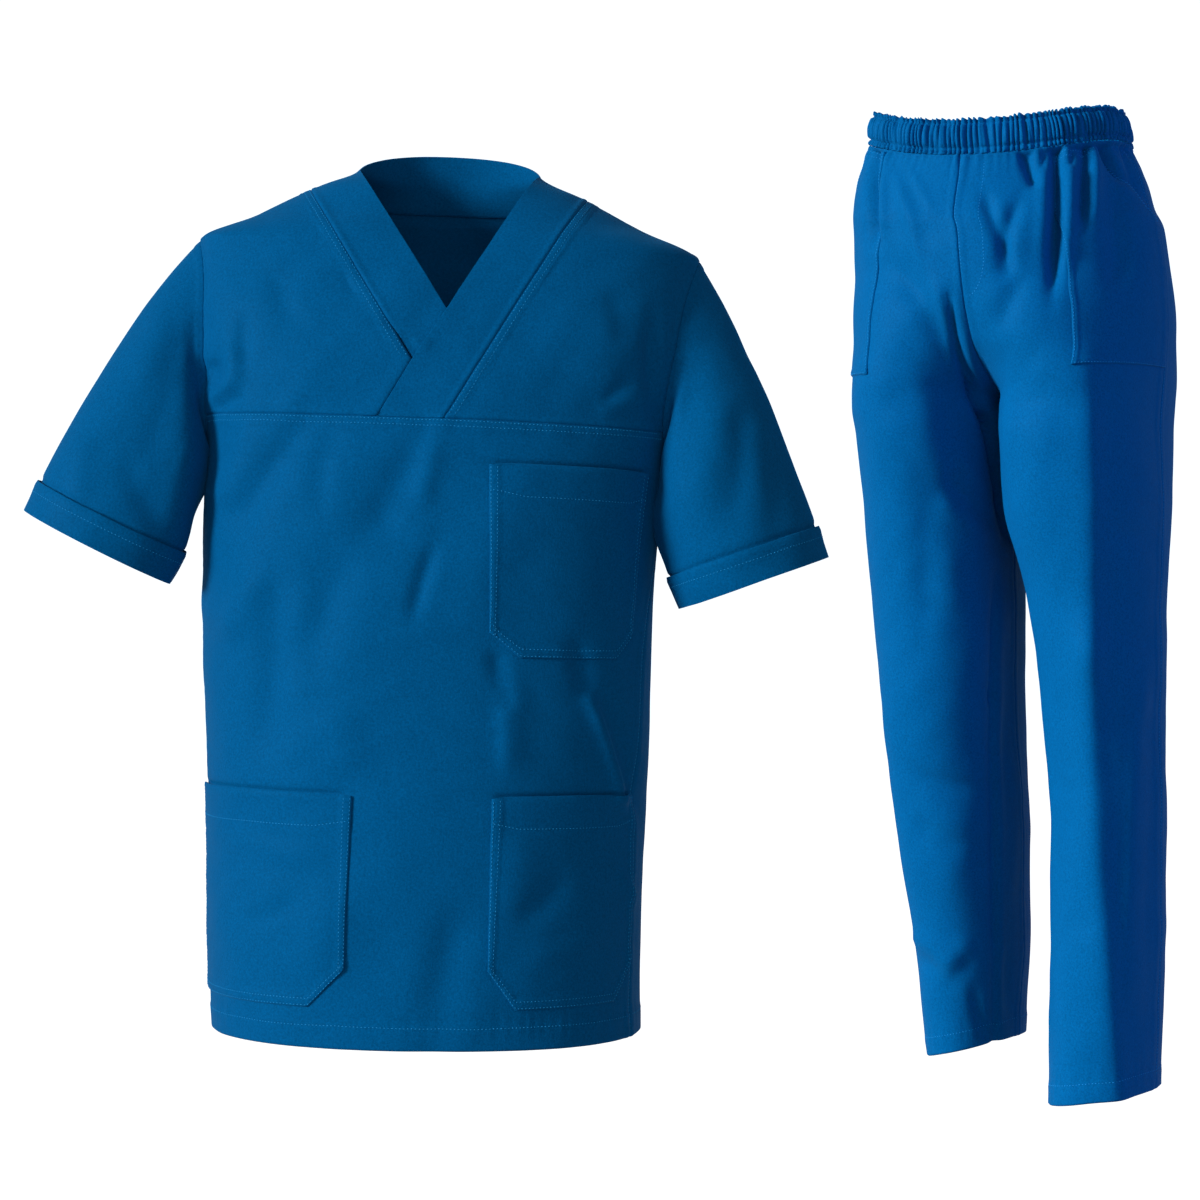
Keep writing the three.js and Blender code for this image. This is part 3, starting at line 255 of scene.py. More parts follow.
# Creases of the tunic's back, hidden in the photograph, as x and z
TUNIC_BACK_CREASES = creases(
    (-120, -150, -90, -420, 6, 24, -6, 0.3, 0),
    (100, -160, 70, -430, -6, 24, -6, 0.3, 0),
    (-20, -330, -34, -783, 8, 28, 6, 0, 1),
    (-110, -500, -122, -783, -8, 24, -6, 0, 1),
    (80, -470, 92, -783, 8, 24, -6, 0, 1),
    (-60, -60, -110, -210, 6, 16, -3, 0.4, 0),
    (60, -60, 95, -200, -6, 16, 3, 0.4, 0),
    (-190, -200, -140, -330, 6, 14, -4, 0.6, 0),
    (165, -220, 120, -350, -6, 14, -4, 0.6, 0),
    (30, -520, 40, -783, 4, 18, 3.5, 0, 1),
    (-160, -560, -168, -783, 4, 15, 3.5, 0, 1),
    (135, -540, 150, -783, -4, 15, 3.5, 0, 1),
    (0, -90, 6, -200, 3, 20, -2.4, 0, 0),
)

# Creases of the sleeves in the picture plane; the same stand on their backs, mirrored in depth
SLEEVE_CREASES = creases(
    (-236, -140, -252, -370, 0, 15, 9, 0.2, 0.6, 1),
    (-250, -150, -275, -370, 0, 34, 6, 0.2, 0.8, 0.5),
    (214, -150, 232, -375, 0, 16, 9, 0.1, 0.9, 4.4),
    (-233.7, -157.4, -243, -318.4, 5, 8, -3.6, 0.4, 0.2),
    (-246, -190, -262, -345, 4, 12, 5, 0, 0.2),
    (-300, -250, -262, -330, 6, 12, -2.6, 0, 0.4),
    (-262, -110, -290, -200, -6, 16, 2.6, 0, 0),
    (-330, -235, -345, -300, 4, 12, 2.2, 0, 0.4),
    (200.6, -208, 200.6, -318.4, 3, 9, -8, 0.4, 0.2),
    (220.8, -180.4, 204.2, -272.4, 4, 8, 3.4, 0.1, 0),
    (248.4, -208, 239.2, -336.8, 5, 14, 3.4, 0, 0.2),
    (262, -200, 262, -320, -5, 12, -3, 0, 0.2),
    (290, -230, 300, -330, -5, 14, -2.4, 0, 0.4),
)

# Creases of the trousers' front in the picture plane
TROUSER_FRONT_CREASES = creases(
    (392.8, 22, 391, -79.2, 3, 5.2, -13, 1, 0.1),
    (402, 14, 401, -66, 3, 4.5, 4.5, 0.7, 0),
    (403.9, 9.1, 432, -82, -4, 6, 3.4, 0.2, 0.4),
    (432, -78, 486, -206.2, -4, 8, 5, 0.4, 0.1, 1.5),
    (396, -70, 470, -190, -6, 10, -4, 0, 0.2),
    (417.7, 11.9, 447.1, -40.6, -1, 4, 1.6, 0.2, 0),
    (490, -12, 509, -66, 1, 6, -6, 0.1, 0.6),
    (526.2, -18, 508.5, -84, 4, 7, -6.5, 0.2, 0.4),
    (508, -66, 516, -98, 0, 7, -4, 0.5, 0),
    (528, 22, 541, -16, 1, 5, -9, 1, 0),
    (532.7, -90.2, 506, -150, 6, 10, -4.6, 0.1, 0),
    (550, 27, 542, 0, 0, 4, -4, 1, 0),
    (558.8, 27.5, 552.5, -122, -3, 6.5, -14, 1, 0.1),
    (568, 22, 563, -110, -3, 6, 5, 0.6, 0),
    (545, 20, 542, -90, -2, 6, 3, 0.6, 0),
    (574.1, 27.5, 569.5, 2, 0, 4.4, -6, 1, 0),
    (585.5, 32.1, 581.5, -60, 0, 6.5, -12, 1, 0),
    (596, 30, 592, -50, 0, 5, 3.5, 0.6, 0),
    (606.3, 24.8, 615, -124, -3, 13, -8, 1, 0),
    (598.9, 34, 631.1, -13.9, 2, 4.6, -9, 1, 0.3),
    (621.9, 27.5, 636.6, -20.3, 1, 4, -6, 1, 0.2),
    (459, -116, 496, -232, 5, 4.2, -13, 0.5, 1),
    (494, -225, 512, -330, 0, 4.4, -12, 1, 0.5),
    (580, -130, 588, -440, -2, 22, 7.5, 0, 1, 0.6),
    (588, -440, 613, -860, 4, 20, 7.5, 1, 0.8, 0.6),
    (584, -150, 590, -440, -2, 12, 3.2, 0, 1, 4),
    (590, -440, 615, -860, 4, 12, 3.2, 1, 0.8, 4),
    (474, -235, 474, -560, 0, 62, 8, 0.1, 0.3, 0.3),
    (455, -560, 470, -800, 0, 40, 4, 0.3, 0.4, 0.6),
    (432, -60, 440, -190, 0, 40, -5, 0.3, 0.2, 1),
    (643, -417, 622, -760, 6, 7, 2.6, 0, 0.5),
    (655, -440, 640, -780, 4, 7, -2.4, 0, 0.5),
    (560, -420, 556, -700, -3, 16, -2.5, 0, 0.3),
    (605, -330, 655, -345, -3, 7, -1.6, 0, 0),
    (600, -420, 655, -438, -3, 7, -1.6, 0, 0),
    (600, -520, 650, -545, 3, 8, 1.5, 0, 0),
    (545, -560, 590, -575, -3, 7, -1.4, 0, 0),
    (560, -690, 600, -700, -4, 8, -1.6, 0, 0),
    (395.6, -428.8, 437, -714, 4, 13, 4, 0, 0),
    (420, -545, 495, -562, 8, 9, -4.5, 0.2, 0.3),
    (424, -570, 492, -600, 8, 12, 2.6, 0.2, 0.3),
    (425, -590, 480, -622, 6, 11, -3.6, 0.1, 0.2),
    (430, -392, 478, -405, 3, 7, -1.8, 0, 0.1),
    (452, -268, 494, -318, 4, 7, -3.6, 0, 0.5),
    (446, -290, 486, -330, 4, 8, 2.6, 0, 0.4),
    (462, -250, 496, -290, 3, 5, 2.2, 0, 0.4),
    (424, -702, 462, -726, -4, 8, 3.2, 1, 0.7),
    (458, -726, 484, -706, -3, 8, 3, 0.7, 0.1),
    (428, -722, 456, -742, -4, 8, -3.4, 0.6, 0.3),
    (462, -741, 484, -724, -3, 8, -2.4, 0.4, 0),
    (502.3, -369, 497.7, -480, 1, 4, -4.5, 0.3, 1),
    (497.7, -480, 503, -800, 1, 4, -4.5, 1, 1),
    (506, -400, 505, -790, 1, 4, 2.4, 0.3, 1),
    (516, -420, 512, -600, 3, 8, -2.6, 0.2, 0),
    (520, -560, 508, -690, -4, 8, 2.6, 0, 0),
    (480, -740, 498, -800, 3, 6, -3, 0, 0.4),
    (512, -700, 520, -790, 3, 6, -2.6, 0, 0.4),
    (516, -520, 528, -590, 4, 6, 2.4, 0, 0),
    (437, -250, 432, -480, -3, 12, -2.6, 0, 0),
    (520, -180, 508, -300, 4, 9, 3, 0.2, 0),
    (430, -160, 455, -300, 5, 16, 3.4, 0, 0),
    (455, -330, 470, -420, 4, 14, 2.6, 0, 0),
)

# Creases of the trousers' back, hidden in the photograph, as x and z
TROUSER_BACK_CREASES = creases(
    (470, 70, 460, -60, 4, 9, -7, 1, 0),
    (520, 72, 512, -80, 4, 8, -7, 1, 0),
    (575, 72, 578, -70, -4, 9, -7, 1, 0),
    (630, 70, 640, -60, -4, 9, -7, 1, 0),
    (548, 60, 546, -20, 2, 7, -5, 1, 0),
    (655, 60, 662, -30, 2, 7, -5, 1, 0),
    (500, -110, 450, -220, 8, 14, -4.5, 0.2, 0),
    (600, -110, 650, -230, -8, 14, -4.5, 0.2, 0),
    (575, -150, 625, -320, -8, 16, 4, 0, 0),
    (520, -160, 500, -330, 6, 16, 4, 0, 0),
    (700, -330, 705, -860, 3, 16, 5, 0, 1),
    (560, -420, 575, -830, -3, 16, 4, 0, 1),
    (520, -560, 570, -600, -6, 12, -4, 0.2, 0.2),
    (660, -600, 712, -570, 6, 12, -4, 0.2, 0.2),
)

# How far a surface turns to the camera before the front's creases show on it at full depth
FACING_START = 0.05
FACING_RANGE = 0.32

# Unevenness of all cloth: fine wrinkles, and three slow waves with their lengths, ways and heights
CRINKLES = 16
CRINKLE_SHARE = 0.0044
WAVES = (
    (190, (0.8, 0.3, 0.5), 1.0, 0.4),
    (120, (-0.5, 0.4, 0.75), 0.7, 1.9),
    (71, (0.3, -0.6, 0.7), 0.4, 4.1),
)


# Small sums
def smooth(value):
    t = np.clip(value, 0, 1)
    return t * t * (3 - 2 * t)


def read(rows, by, key, value):
    """One column of a table, read smoothly between its rows."""
    xs, ys = rows[by], rows[key]
    value = np.asarray(value, float)
    if xs[0] > xs[-1]:
        xs, value = -xs, -value
    steps = np.diff(ys) / np.diff(xs)
    slopes = np.concatenate([steps[:1], np.zeros(len(xs) - 2), steps[-1:]])
    product = steps[:-1] * steps[1:]
    total = np.where(steps[:-1] + steps[1:] == 0, 1, steps[:-1] + steps[1:])
    slopes[1:-1] = np.where(product > 0, 2 * product / total, 0)
    i = np.clip(np.searchsorted(xs, value, side="right") - 1, 0, len(xs) - 2)
    span = xs[i + 1] - xs[i]
    t = np.clip((value - xs[i]) / span, 0, 1)
    rise = ys[i + 1] - ys[i]
    start, end = slopes[i] * span, slopes[i + 1] * span
    return ys[i] + t * (start + t * (3 * rise - 2 * start - end + t * (start + end - 2 * rise)))


def read_straight(rows, by, key, value):
    xs, ys = rows[by], rows[key]
    if xs[0] > xs[-1]:
        xs, ys = xs[::-1], ys[::-1]
    return np.interp(value, xs, ys)


def steps_of(count, per_step, low=0, near=0, far=0):
    """Fractional rows or columns, with finer ones close to each end.

    near and far give the length in mm of one row or column at the two ends.
    """
    even = np.linspace(low, count, int(round((count - low) * per_step)) + 1)[1:-1]
    close = 0.12 / per_step
    first = SEAM_LINES / near if near else np.array([close])
    last = SEAM_LINES / far if far else np.array([close])
    even = even[(even > low + first[-1] + close) & (even < count - last[-1] - close)]
    return np.concatenate([[low], low + first, even, count - last[::-1], [count]])


SEAM_LINES = np.array([0.5, 1.4, 2.2, 3.1, 4.6, 6.4, 8, 9.6])


def unit(v):
    return v / np.maximum(np.linalg.norm(v, axis=-1, keepdims=True), 1e-9)


def cubic(a, b, c, d, t):
    s = 1 - t
    return s**3 * a + 3 * s * s * t * b + 3 * s * t * t * c + t**3 * d


def across_share(t, corner):
    s = 1 - t
    return 3 * s * s * t * corner + 3 * s * t * t + t * t * t


# Tunic body
def torso_point(q, z):
    q, z = np.broadcast_arrays(np.asarray(q, float), np.asarray(z, float))
    turn = q - 4 * np.floor((q + 2) / 4)
    away = np.abs(turn)
    in_front = away <= 1
    t = np.where(in_front, away, 2 - away)
    corner = read(TORSO, "z", "corner", z)
    depth = np.where(in_front, -read(TORSO, "z", "front", z), read(TORSO, "z", "back", z))
    across = read(TORSO, "z", "half", z) * across_share(t, corner)
    x = read(TORSO, "z", "centre", z) + np.sign(turn) * across
    y = depth * across_share(1 - t, corner)
    return np.stack([x, y, z - read(TORSO, "z", "roll", z) * x], -1)


def torso_normal(q, z):
    by_turn = torso_point(q + 0.01, z) - torso_point(q - 0.01, z)
    by_height = torso_point(q, z + 1) - torso_point(q, z - 1)
    return unit(np.cross(by_turn, by_height))


def turn_at(width, z):
    share = np.abs(width) / read(TORSO, "z", "half", z)
    corner = read(TORSO, "z", "corner", z)
    low = np.zeros(np.broadcast(width, z).shape)
    high = np.ones_like(low)
    for _ in range(26):
        t = (low + high) / 2
        below = across_share(t, corner) < share
        low = np.where(below, t, low)
        high = np.where(below, high, t)
    return np.sign(width) * (low + high) / 2


def front_turn(x, z):
    return turn_at(x - read(TORSO, "z", "centre", z), z)


def width_at(turn, z):
    share = across_share(np.abs(turn), read(TORSO, "z", "corner", z))
    return np.sign(turn) * share * read(TORSO, "z", "half", z)


def armhole_front(side, i):
    early = CHEST_SEAM_TURN * i / YOKE_ROWS
    late = CHEST_SEAM_TURN + (1 - CHEST_SEAM_TURN) * (i - YOKE_ROWS) / PIT_ROWS
    turn = np.where(i <= YOKE_ROWS, early, late) * math.pi
    q = SIGN[side] * (1 - ARMHOLE_FRONT_BULGE[side] * np.sin(turn))
    return q, ARMHOLE_CENTRE_Z + ARMHOLE_HALF_HEIGHT * np.cos(turn)


def armhole_back(side, i):
    turn = math.pi * i / ARM_ROWS
    q = SIGN[side] * (1 + ARMHOLE_BACK_BULGE * np.sin(turn))
    return q, ARMHOLE_CENTRE_Z + ARMHOLE_HALF_HEIGHT * np.cos(turn)


def shoulder_seam(side, j):
    z = SHOULDER_TIP_Z + (SHOULDER_BAND_Z - SHOULDER_TIP_Z) * j / YOKE_COLUMNS[side]
    return SIGN[side] + 0 * z, z


def side_seam(side, n):
    z = np.interp(n, np.arange(LOWER_COUNT + 1), LOWER_ROW_Z)
    fall = smooth((LOWER_ROW_Z[0] - z) / SIDE_SEAM_SETTLE)
    return SIGN[side] * (1 - SIDE_SEAM_FORWARD[side] * fall), z


def band_line(line, n):
    x, z = np.interp(n, line["n"], line["x"]), np.interp(n, line["n"], line["z"])
    reach = read(TORSO, "z", "half", z)
    return np.where(n <= 0, np.sign(x), front_turn(np.clip(x, -reach, reach), z)), z


def front_side(side, i):
    arm, seam = armhole_front(side, YOKE_ROWS + i), side_seam(side, np.maximum(i - PIT_ROWS, 0))
    return np.where(i < PIT_ROWS, arm[0], seam[0]), np.where(i < PIT_ROWS, arm[1], seam[1])


def front_grid(i, j):
    i, j = np.broadcast_arrays(np.asarray(i, float), np.asarray(j, float))
    start, z = front_side("right", i)
    end, _ = front_side("left", i)
    under = YOKE_COLUMNS["right"]
    over = under + BAND_COLUMNS
    stops = [(0, start), (under - 2, "cut"), (under - 1, "right"), (under, "under"), (over, "over"),
             (over + 1, "left"), (FRONT_COLUMN_COUNT - 1, "chest"), (FRONT_COLUMN_COUNT, end)]
    turns = [
        front_turn(read_straight(FRONT_COLUMNS, "z", stop, z), z) if isinstance(stop, str) else stop
        for _, stop in stops
    ]
    q = np.zeros(i.shape)
    for (n, _), (m, _), low, high in zip(stops, stops[1:], turns, turns[1:]):
        inside = (j >= n) & (j <= m)
        q = np.where(inside, low + (high - low) * (j - n) / (m - n), q)
    return q, z


def yoke_inner(side, i):
    if side == "left":
        return band_line(BAND_OUTER_LEFT, i)
    early = band_line(BAND_OUTER_RIGHT, np.minimum(i, BAND_MEET_ROW))
    late = band_line(BAND_INNER_LEFT, i)
    before = i <= BAND_MEET_ROW
    return np.where(before, early[0], late[0]), np.where(before, early[1], late[1])


def spread(rows, columns, top, foot, start, end, behind=False, square_on=True):
    """A patch between four edges, spread evenly as seen square on, as a function of row and column."""

    def flat(at):
        q, z = at
        return (width_at(-2 - q if behind else q, z), z) if square_on else (q, z)

    corners = [flat(top(np.array(0.0))), flat(top(np.array(float(columns)))),
               flat(foot(np.array(0.0))), flat(foot(np.array(float(columns))))]

    def place(i, j):
        i, j = np.broadcast_arrays(np.asarray(i, float), np.asarray(j, float))
        v, u = i / rows, j / columns
        edges = [flat(top(j)), flat(foot(j)), flat(start(i)), flat(end(i))]
        mixed = [
            (1 - v) * edges[0][k] + v * edges[1][k] + (1 - u) * edges[2][k] + u * edges[3][k]
            - (1 - v) * ((1 - u) * corners[0][k] + u * corners[1][k])
            - v * ((1 - u) * corners[2][k] + u * corners[3][k])
            for k in (0, 1)
        ]
        if not square_on:
            return mixed[0], mixed[1]
        turn = turn_at(mixed[0], mixed[1])
        q = -2 - turn if behind else turn
        exact = ((i == 0, top(j)), (i == rows, foot(j)), (j == 0, start(i)), (j == columns, end(i)))
        for at, edge in exact:
            q = np.where(at, edge[0], q)
        return q, mixed[1]

    return place


# Creases
def seen(points):
    """Where points stand in the picture plane through the shoulders."""
    near = -CAMERA[1] / (points[..., 1] - CAMERA[1])
    return CAMERA[0] + (points[..., 0] - CAMERA[0]) * near, CAMERA[2] + (points[..., 2] - CAMERA[2]) * near


def crease_depth(rows, x, z):
    depth = np.zeros(np.shape(x))
    for row in zip(*(rows[name] for name in CREASE.split())):
        x1, z1, x2, z2, bow, wide, deep, start, end, skew = row
        length = math.hypot(x2 - x1, z2 - z1)
        along = ((x - x1) * (x2 - x1) + (z - z1) * (z2 - z1)) / length
        share = np.clip(along / length, 0, 1)
        beside = ((x - x1) * (z2 - z1) - (z - z1) * (x2 - x1)) / length - bow * 4 * share * (1 - share)
        past = np.maximum(0, np.maximum(-along, along - length))
        head = start + (1 - start) * smooth(share / 0.35)
        tail = end + (1 - end) * smooth((1 - share) / 0.35)
        reach = np.where(beside < 0, wide * skew, wide)
        fall = np.exp(-((beside / reach) ** 2) - (past / (1.6 * wide)) ** 2)
        depth += deep * head * tail * fall
    return depth


def crinkle(points):
    """Fine shallow wrinkles all over, of many lengths and ways, from one seed."""
    draw = np.random.default_rng(7)
    height = np.zeros(points.shape[:-1])
    bend = 6 * np.sin(points @ np.array([0.021, 0.013, 0.017]))
    bend = bend + 5 * np.sin(points @ np.array([-0.013, 0.03, 0.026]))
    for _ in range(CRINKLES):
        length = draw.uniform(16, 62)
        way = unit(draw.normal(size=3) * np.array([1, 1, 0.8]))
        phase = draw.uniform(0, 2 * math.pi)
        swing = 2 * math.pi * (points @ way + bend) / length + phase
        patch = 0.5 + 0.5 * np.sin(points @ (draw.normal(size=3) * 0.012) + phase)
        height += CRINKLE_SHARE * length * patch * np.sin(swing)
    return height


def unevenness(points):
    height = np.zeros(points.shape[:-1])
    for length, way, high, phase in WAVES:
        along = points @ (np.array(way) / np.linalg.norm(way))
        height += high * np.sin(2 * math.pi * along / length + phase + 1.3 * np.sin(along / 87 + phase))
    return height + crinkle(points)


def move_by_creases(points, normals, front, back, seam_share=1.0):
    x, z = seen(points)
    facing_front = smooth((FACING_START - normals[..., 1]) / FACING_RANGE)
    facing_back = smooth((FACING_START + normals[..., 1]) / FACING_RANGE)
    depth = crease_depth(front, x, z) * facing_front
    depth += crease_depth(back, points[..., 0], points[..., 2]) * facing_back
    depth += unevenness(points) * (0.3 + 0.7 * np.abs(normals[..., 1]))
    return points + normals * (depth * seam_share)[..., None]


def lengths_along(points, axis):
    """Length along the cloth from its first row or column."""
    steps = np.diff(points, axis=axis, prepend=points.take([0], axis))
    return np.cumsum(np.linalg.norm(steps, axis=-1), axis)


def seam_relief(points, normals, edges):
    """Sewn edges: the doubled cloth stands proud, the stitches sink in and the cloth puckers between them.

    Each edge is named top, foot, first or last, with the width of its allowance, the distances of its
    rows of stitches and the height of its puckers.
    """
    depth = np.zeros(points.shape[:-1])
    for name, allowance, rows, pucker in edges:
        axis = 0 if name in ("top", "foot") else 1
        gone = lengths_along(points, axis)
        whole = gone.take([-1], axis)
        away = gone if name in ("top", "first") else whole - gone
        along = lengths_along(points, 1 - axis)
        along = along.take([0] if name in ("top", "first") else [-1], axis)
        joined = smooth(away / 1.2)
        depth += 0.7 * joined * (1 - smooth((away - allowance) / 2)) - 0.75 * (1 - joined)
        for row in rows:
            depth -= 0.3 * np.exp(-(((away - row) / 1.1) ** 2))
        wave = np.sin(along / 1.9 + 1.6 * np.sin(along / 31) + 1.1 * np.sin(along / 13 + 2))
        wave = wave + 0.7 * np.sin(along / 1.15 + 2.3 * np.sin(along / 19 + 1))
        middle = 0.5 * (rows[0] + rows[-1]) if rows else 0.4 * allowance
        depth += pucker * wave * joined * np.exp(-(((away - middle) / (0.45 * allowance + 1.5)) ** 2))
    return points + normals * depth[..., None]


# Sheets: grids of points on the middle of the cloth, with the rows and columns that they stand on
def make_sheet(name, rows, columns, points, outward, ring=False):
    return dict(name=name, i=rows, j=columns, p=points, n=grid_normals(points, outward, ring), ring=ring)


def grid_normals(points, outward, ring):
    if ring:
        by_column = np.roll(points, -1, 1) - np.roll(points, 1, 1)
    else:
        by_column = np.gradient(points, axis=1)
    normal = unit(np.cross(by_column, np.gradient(points, axis=0)))
    return -normal if (normal * outward).sum() < 0 else normal


def weld(sheets):
    """Gives coincident edge points one normal."""
    sums = {}
    edges = []
    for sheet in sheets:
        rows, columns = sheet["p"].shape[:2]
        on_edge = {(i, j) for i in range(rows) for j in (0, columns - 1)}
        on_edge |= {(i, j) for j in range(columns) for i in (0, rows - 1)}
        for i, j in sorted(on_edge):
            key = tuple(np.round(sheet["p"][i, j] * 20).astype(int))
            sums[key] = sums.get(key, 0) + sheet["n"][i, j]
            edges.append((sheet, i, j, key))
    for sheet, i, j, key in edges:
        sheet["n"][i, j] = unit(sums[key])


def sample(sheet, i, j):
    """Point and normal of a sheet at fractional rows and columns."""
    i, j = np.broadcast_arrays(np.asarray(i, float), np.asarray(j, float))
    rows, columns = sheet["i"], sheet["j"]
    points, normals = sheet["p"], sheet["n"]
    if sheet["ring"]:
        columns = np.append(columns, SLEEVE_COLUMNS)
        points = np.concatenate([points, points[:, :1]], 1)
        normals = np.concatenate([normals, normals[:, :1]], 1)
        j = np.mod(j, SLEEVE_COLUMNS)
    a = np.clip(np.searchsorted(rows, i, side="right") - 1, 0, len(rows) - 2)
    b = np.clip(np.searchsorted(columns, j, side="right") - 1, 0, len(columns) - 2)
    v = ((i - rows[a]) / (rows[a + 1] - rows[a]))[..., None]
    u = ((j - columns[b]) / (columns[b + 1] - columns[b]))[..., None]
    mix = [
        (1 - v) * ((1 - u) * g[a, b] + u * g[a, b + 1]) + v * ((1 - u) * g[a + 1, b] + u * g[a + 1, b + 1])
        for g in (points, normals)
    ]
    return mix[0], unit(mix[1])


# Materials
def new_cloth(name, colour, thread):
    material = bpy.data.materials.new(name)
    material.use_nodes = True
    nodes, links = material.node_tree.nodes, material.node_tree.links
    shader = nodes["Principled BSDF"]
    shader.inputs["Roughness"].default_value = 0.5
    shader.inputs["Specular IOR Level"].default_value = 0.03
    shader.inputs["Specular Tint"].default_value = (0.04, 0.5, 1, 1)
    shader.inputs["Sheen Weight"].default_value = 0.22
    shader.inputs["Sheen Roughness"].default_value = 0.45
    shader.inputs["Sheen Tint"].default_value = (0.04, 0.45, 1, 1)
    if thread:
        shader.inputs["Base Color"].default_value = (*colour, 1)
        return material
    place = nodes.new("ShaderNodeTexCoord")
    noise = nodes.new("ShaderNodeTexNoise")
    noise.inputs["Scale"].default_value = 520
    noise.inputs["Detail"].default_value = 4
    noise.inputs["Roughness"].default_value = 0.75
    links.new(place.outputs["Object"], noise.inputs["Vector"])
    shade = nodes.new("ShaderNodeMixRGB")
    shade.inputs["Color1"].default_value = (*[c * 0.35 for c in colour], 1)
    shade.inputs["Color2"].default_value = (*[c * 1.65 for c in colour], 1)
    links.new(noise.outputs["Fac"], shade.inputs["Fac"])
    links.new(shade.outputs["Color"], shader.inputs["Base Color"])
    turn = nodes.new("ShaderNodeMapping")
    turn.inputs["Rotation"].default_value = (0, 0, math.radians(62))
    turn.inputs["Scale"].default_value = (1, 0.3, 1)
    links.new(place.outputs["UV"], turn.inputs["Vector"])
    grain = nodes.new("ShaderNodeTexNoise")
    grain.inputs["Scale"].default_value = 1.1
    grain.inputs["Detail"].default_value = 3
    links.new(turn.outputs["Vector"], grain.inputs["Vector"])
    bump = nodes.new("ShaderNodeBump")
    bump.inputs["Strength"].default_value = 0.6
    bump.inputs["Distance"].default_value = 0.0005
    links.new(grain.outputs["Fac"], bump.inputs["Height"])
    links.new(bump.outputs["Normal"], shader.inputs["Normal"])
    return material


TUNIC_COLOUR = (0.0003, 0.083, 0.232)
TROUSER_COLOUR = (0.0003, 0.092, 0.27)
CLOTHS = {
    "tunic_cloth": new_cloth("tunic_twill", TUNIC_COLOUR, False),
    "trouser_cloth": new_cloth("trouser_twill", TROUSER_COLOUR, False),
}
THREADS = {
    "tunic_cloth": new_cloth("tunic_thread", (0.02, 0.25, 0.55), True),
    "trouser_cloth": new_cloth("trouser_thread", (0.02, 0.26, 0.62), True),
}


# Meshes
GARMENTS = {slot_name: bpy.data.collections.new(slot_name) for slot_name in CLOTHS}


def add_object(name, vertices, faces, material, slot_name, uv=None):
    mesh = bpy.data.meshes.new(name)
    mesh.from_pydata((np.asarray(vertices) / 1000).tolist(), [], faces)
    if uv is not None:
        layer = mesh.uv_layers.new(name="cloth_mm")
        index = np.zeros(len(mesh.loops), np.int32)
        mesh.loops.foreach_get("vertex_index", index)
        layer.data.foreach_set("uv", uv[index].astype(np.float32).ravel())
    mesh.polygons.foreach_set("use_smooth", np.ones(len(mesh.polygons), bool))
    mesh.materials.append(material)
    mesh.update()
    obj = bpy.data.objects.new(name, mesh)
    bpy.context.scene.collection.objects.link(obj)
    GARMENTS[slot_name].objects.link(obj)
    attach(obj, "root")
    return obj


def add_shell(name, node, points, normals, wall, slot_name, ring=False):
    """A closed thin wall on both sides of a grid, in place of a CAD node."""
    rows, columns = points.shape[:2]
    count = rows * columns
    vertices = np.concatenate([
        (points + normals * wall / 2).reshape(-1, 3),
        (points - normals * wall / 2).reshape(-1, 3),
    ])
    index = np.arange(count).reshape(rows, columns)
    right = np.roll(index, -1, 1) if ring else index[:, 1:]
    left = index if ring else index[:, :-1]
    quads = np.stack([left[:-1], right[:-1], right[1:], left[1:]], -1).reshape(-1, 4)
    a, b, c = (vertices[quads[:, k]] for k in (0, 1, 3))
    flipped = (np.cross(b - a, c - a) * normals.reshape(-1, 3)[quads[:, 0]]).sum() < 0
    if flipped:
        quads = quads[:, ::-1]
    rims = [index[0], index[-1][::-1]]
    if not ring:
        rims += [index[::-1, 0], index[:, -1]]
    walls = []
    for rim in rims:
        nxt = np.roll(rim, -1) if ring else rim[1:]
        here = rim if ring else rim[:-1]
        strip = np.stack([here, nxt, nxt + count, here + count], -1)
        walls.append(strip if flipped else strip[:, ::-1])
    faces = np.concatenate([quads, quads[:, ::-1] + count, *walls]).tolist()
    uv = np.stack([lengths_along(points, 1), lengths_along(points, 0)], -1).reshape(-1, 2)
    uv = np.tile(uv, (2, 1))
    obj = add_object(name, vertices, faces, CLOTHS[slot_name], slot_name, uv)
    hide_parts(node)
    return obj


# Tunic grids
ARM_STEP = 5
LOWER_STEP = 9
ACROSS_STEP = 8

# Rows of stitches, as their distances from the edge, and the depths of hems
SINGLE = (2.2,)
DOUBLE = (2.2, 8)
HEM = 21
TROUSER_HEM = 20
POCKET_HEM = 29
CUFF_STITCH = 10
SIDE_EDGES = (("first", 9, DOUBLE, 0.12), ("last", 9, DOUBLE, 0.12))
HEM_EDGE = ("foot", HEM, (HEM,), 0.22)
PIT_ROW_MM = 9.75
LOWER_ROW_MM = 39
BELOW_ROW_MM = 37
ABOVE_LINES = np.array([1.2, 2.4, 3.6, 5, 7])
BELOW_LINES = np.array([1.5, 3])
CROWDED_ABOVE, CROWDED_BELOW = 0.05, 0.02
POCKET_SINK = dict(deep=2.1, above=2, wide=2.4)
CUFF_SINK = dict(deep=1.7, above=2, wide=2.3)


def finer(rows, edge, row_mm):
    """Finer rows by a pocket's mouth or a cuff's edge, in place of those that they would crowd."""
    lines = np.concatenate([edge - ABOVE_LINES / row_mm, [edge], edge + BELOW_LINES / BELOW_ROW_MM])
    apart = (rows < lines.min() - CROWDED_ABOVE) | (rows > lines.max() + CROWDED_BELOW)
    return np.sort(np.concatenate([rows[apart], lines]))


def joined_steps(first, first_step, second, second_step, near, far):
    upper = steps_of(first, first_step, near=near)[:-2]
    lower = steps_of(second, second_step, far=far)
    return np.concatenate([upper, [first], first + lower[2:]])


def sink_at(distance, deep, above, wide):
    return deep * np.exp(-(((distance - above) / wide) ** 2))


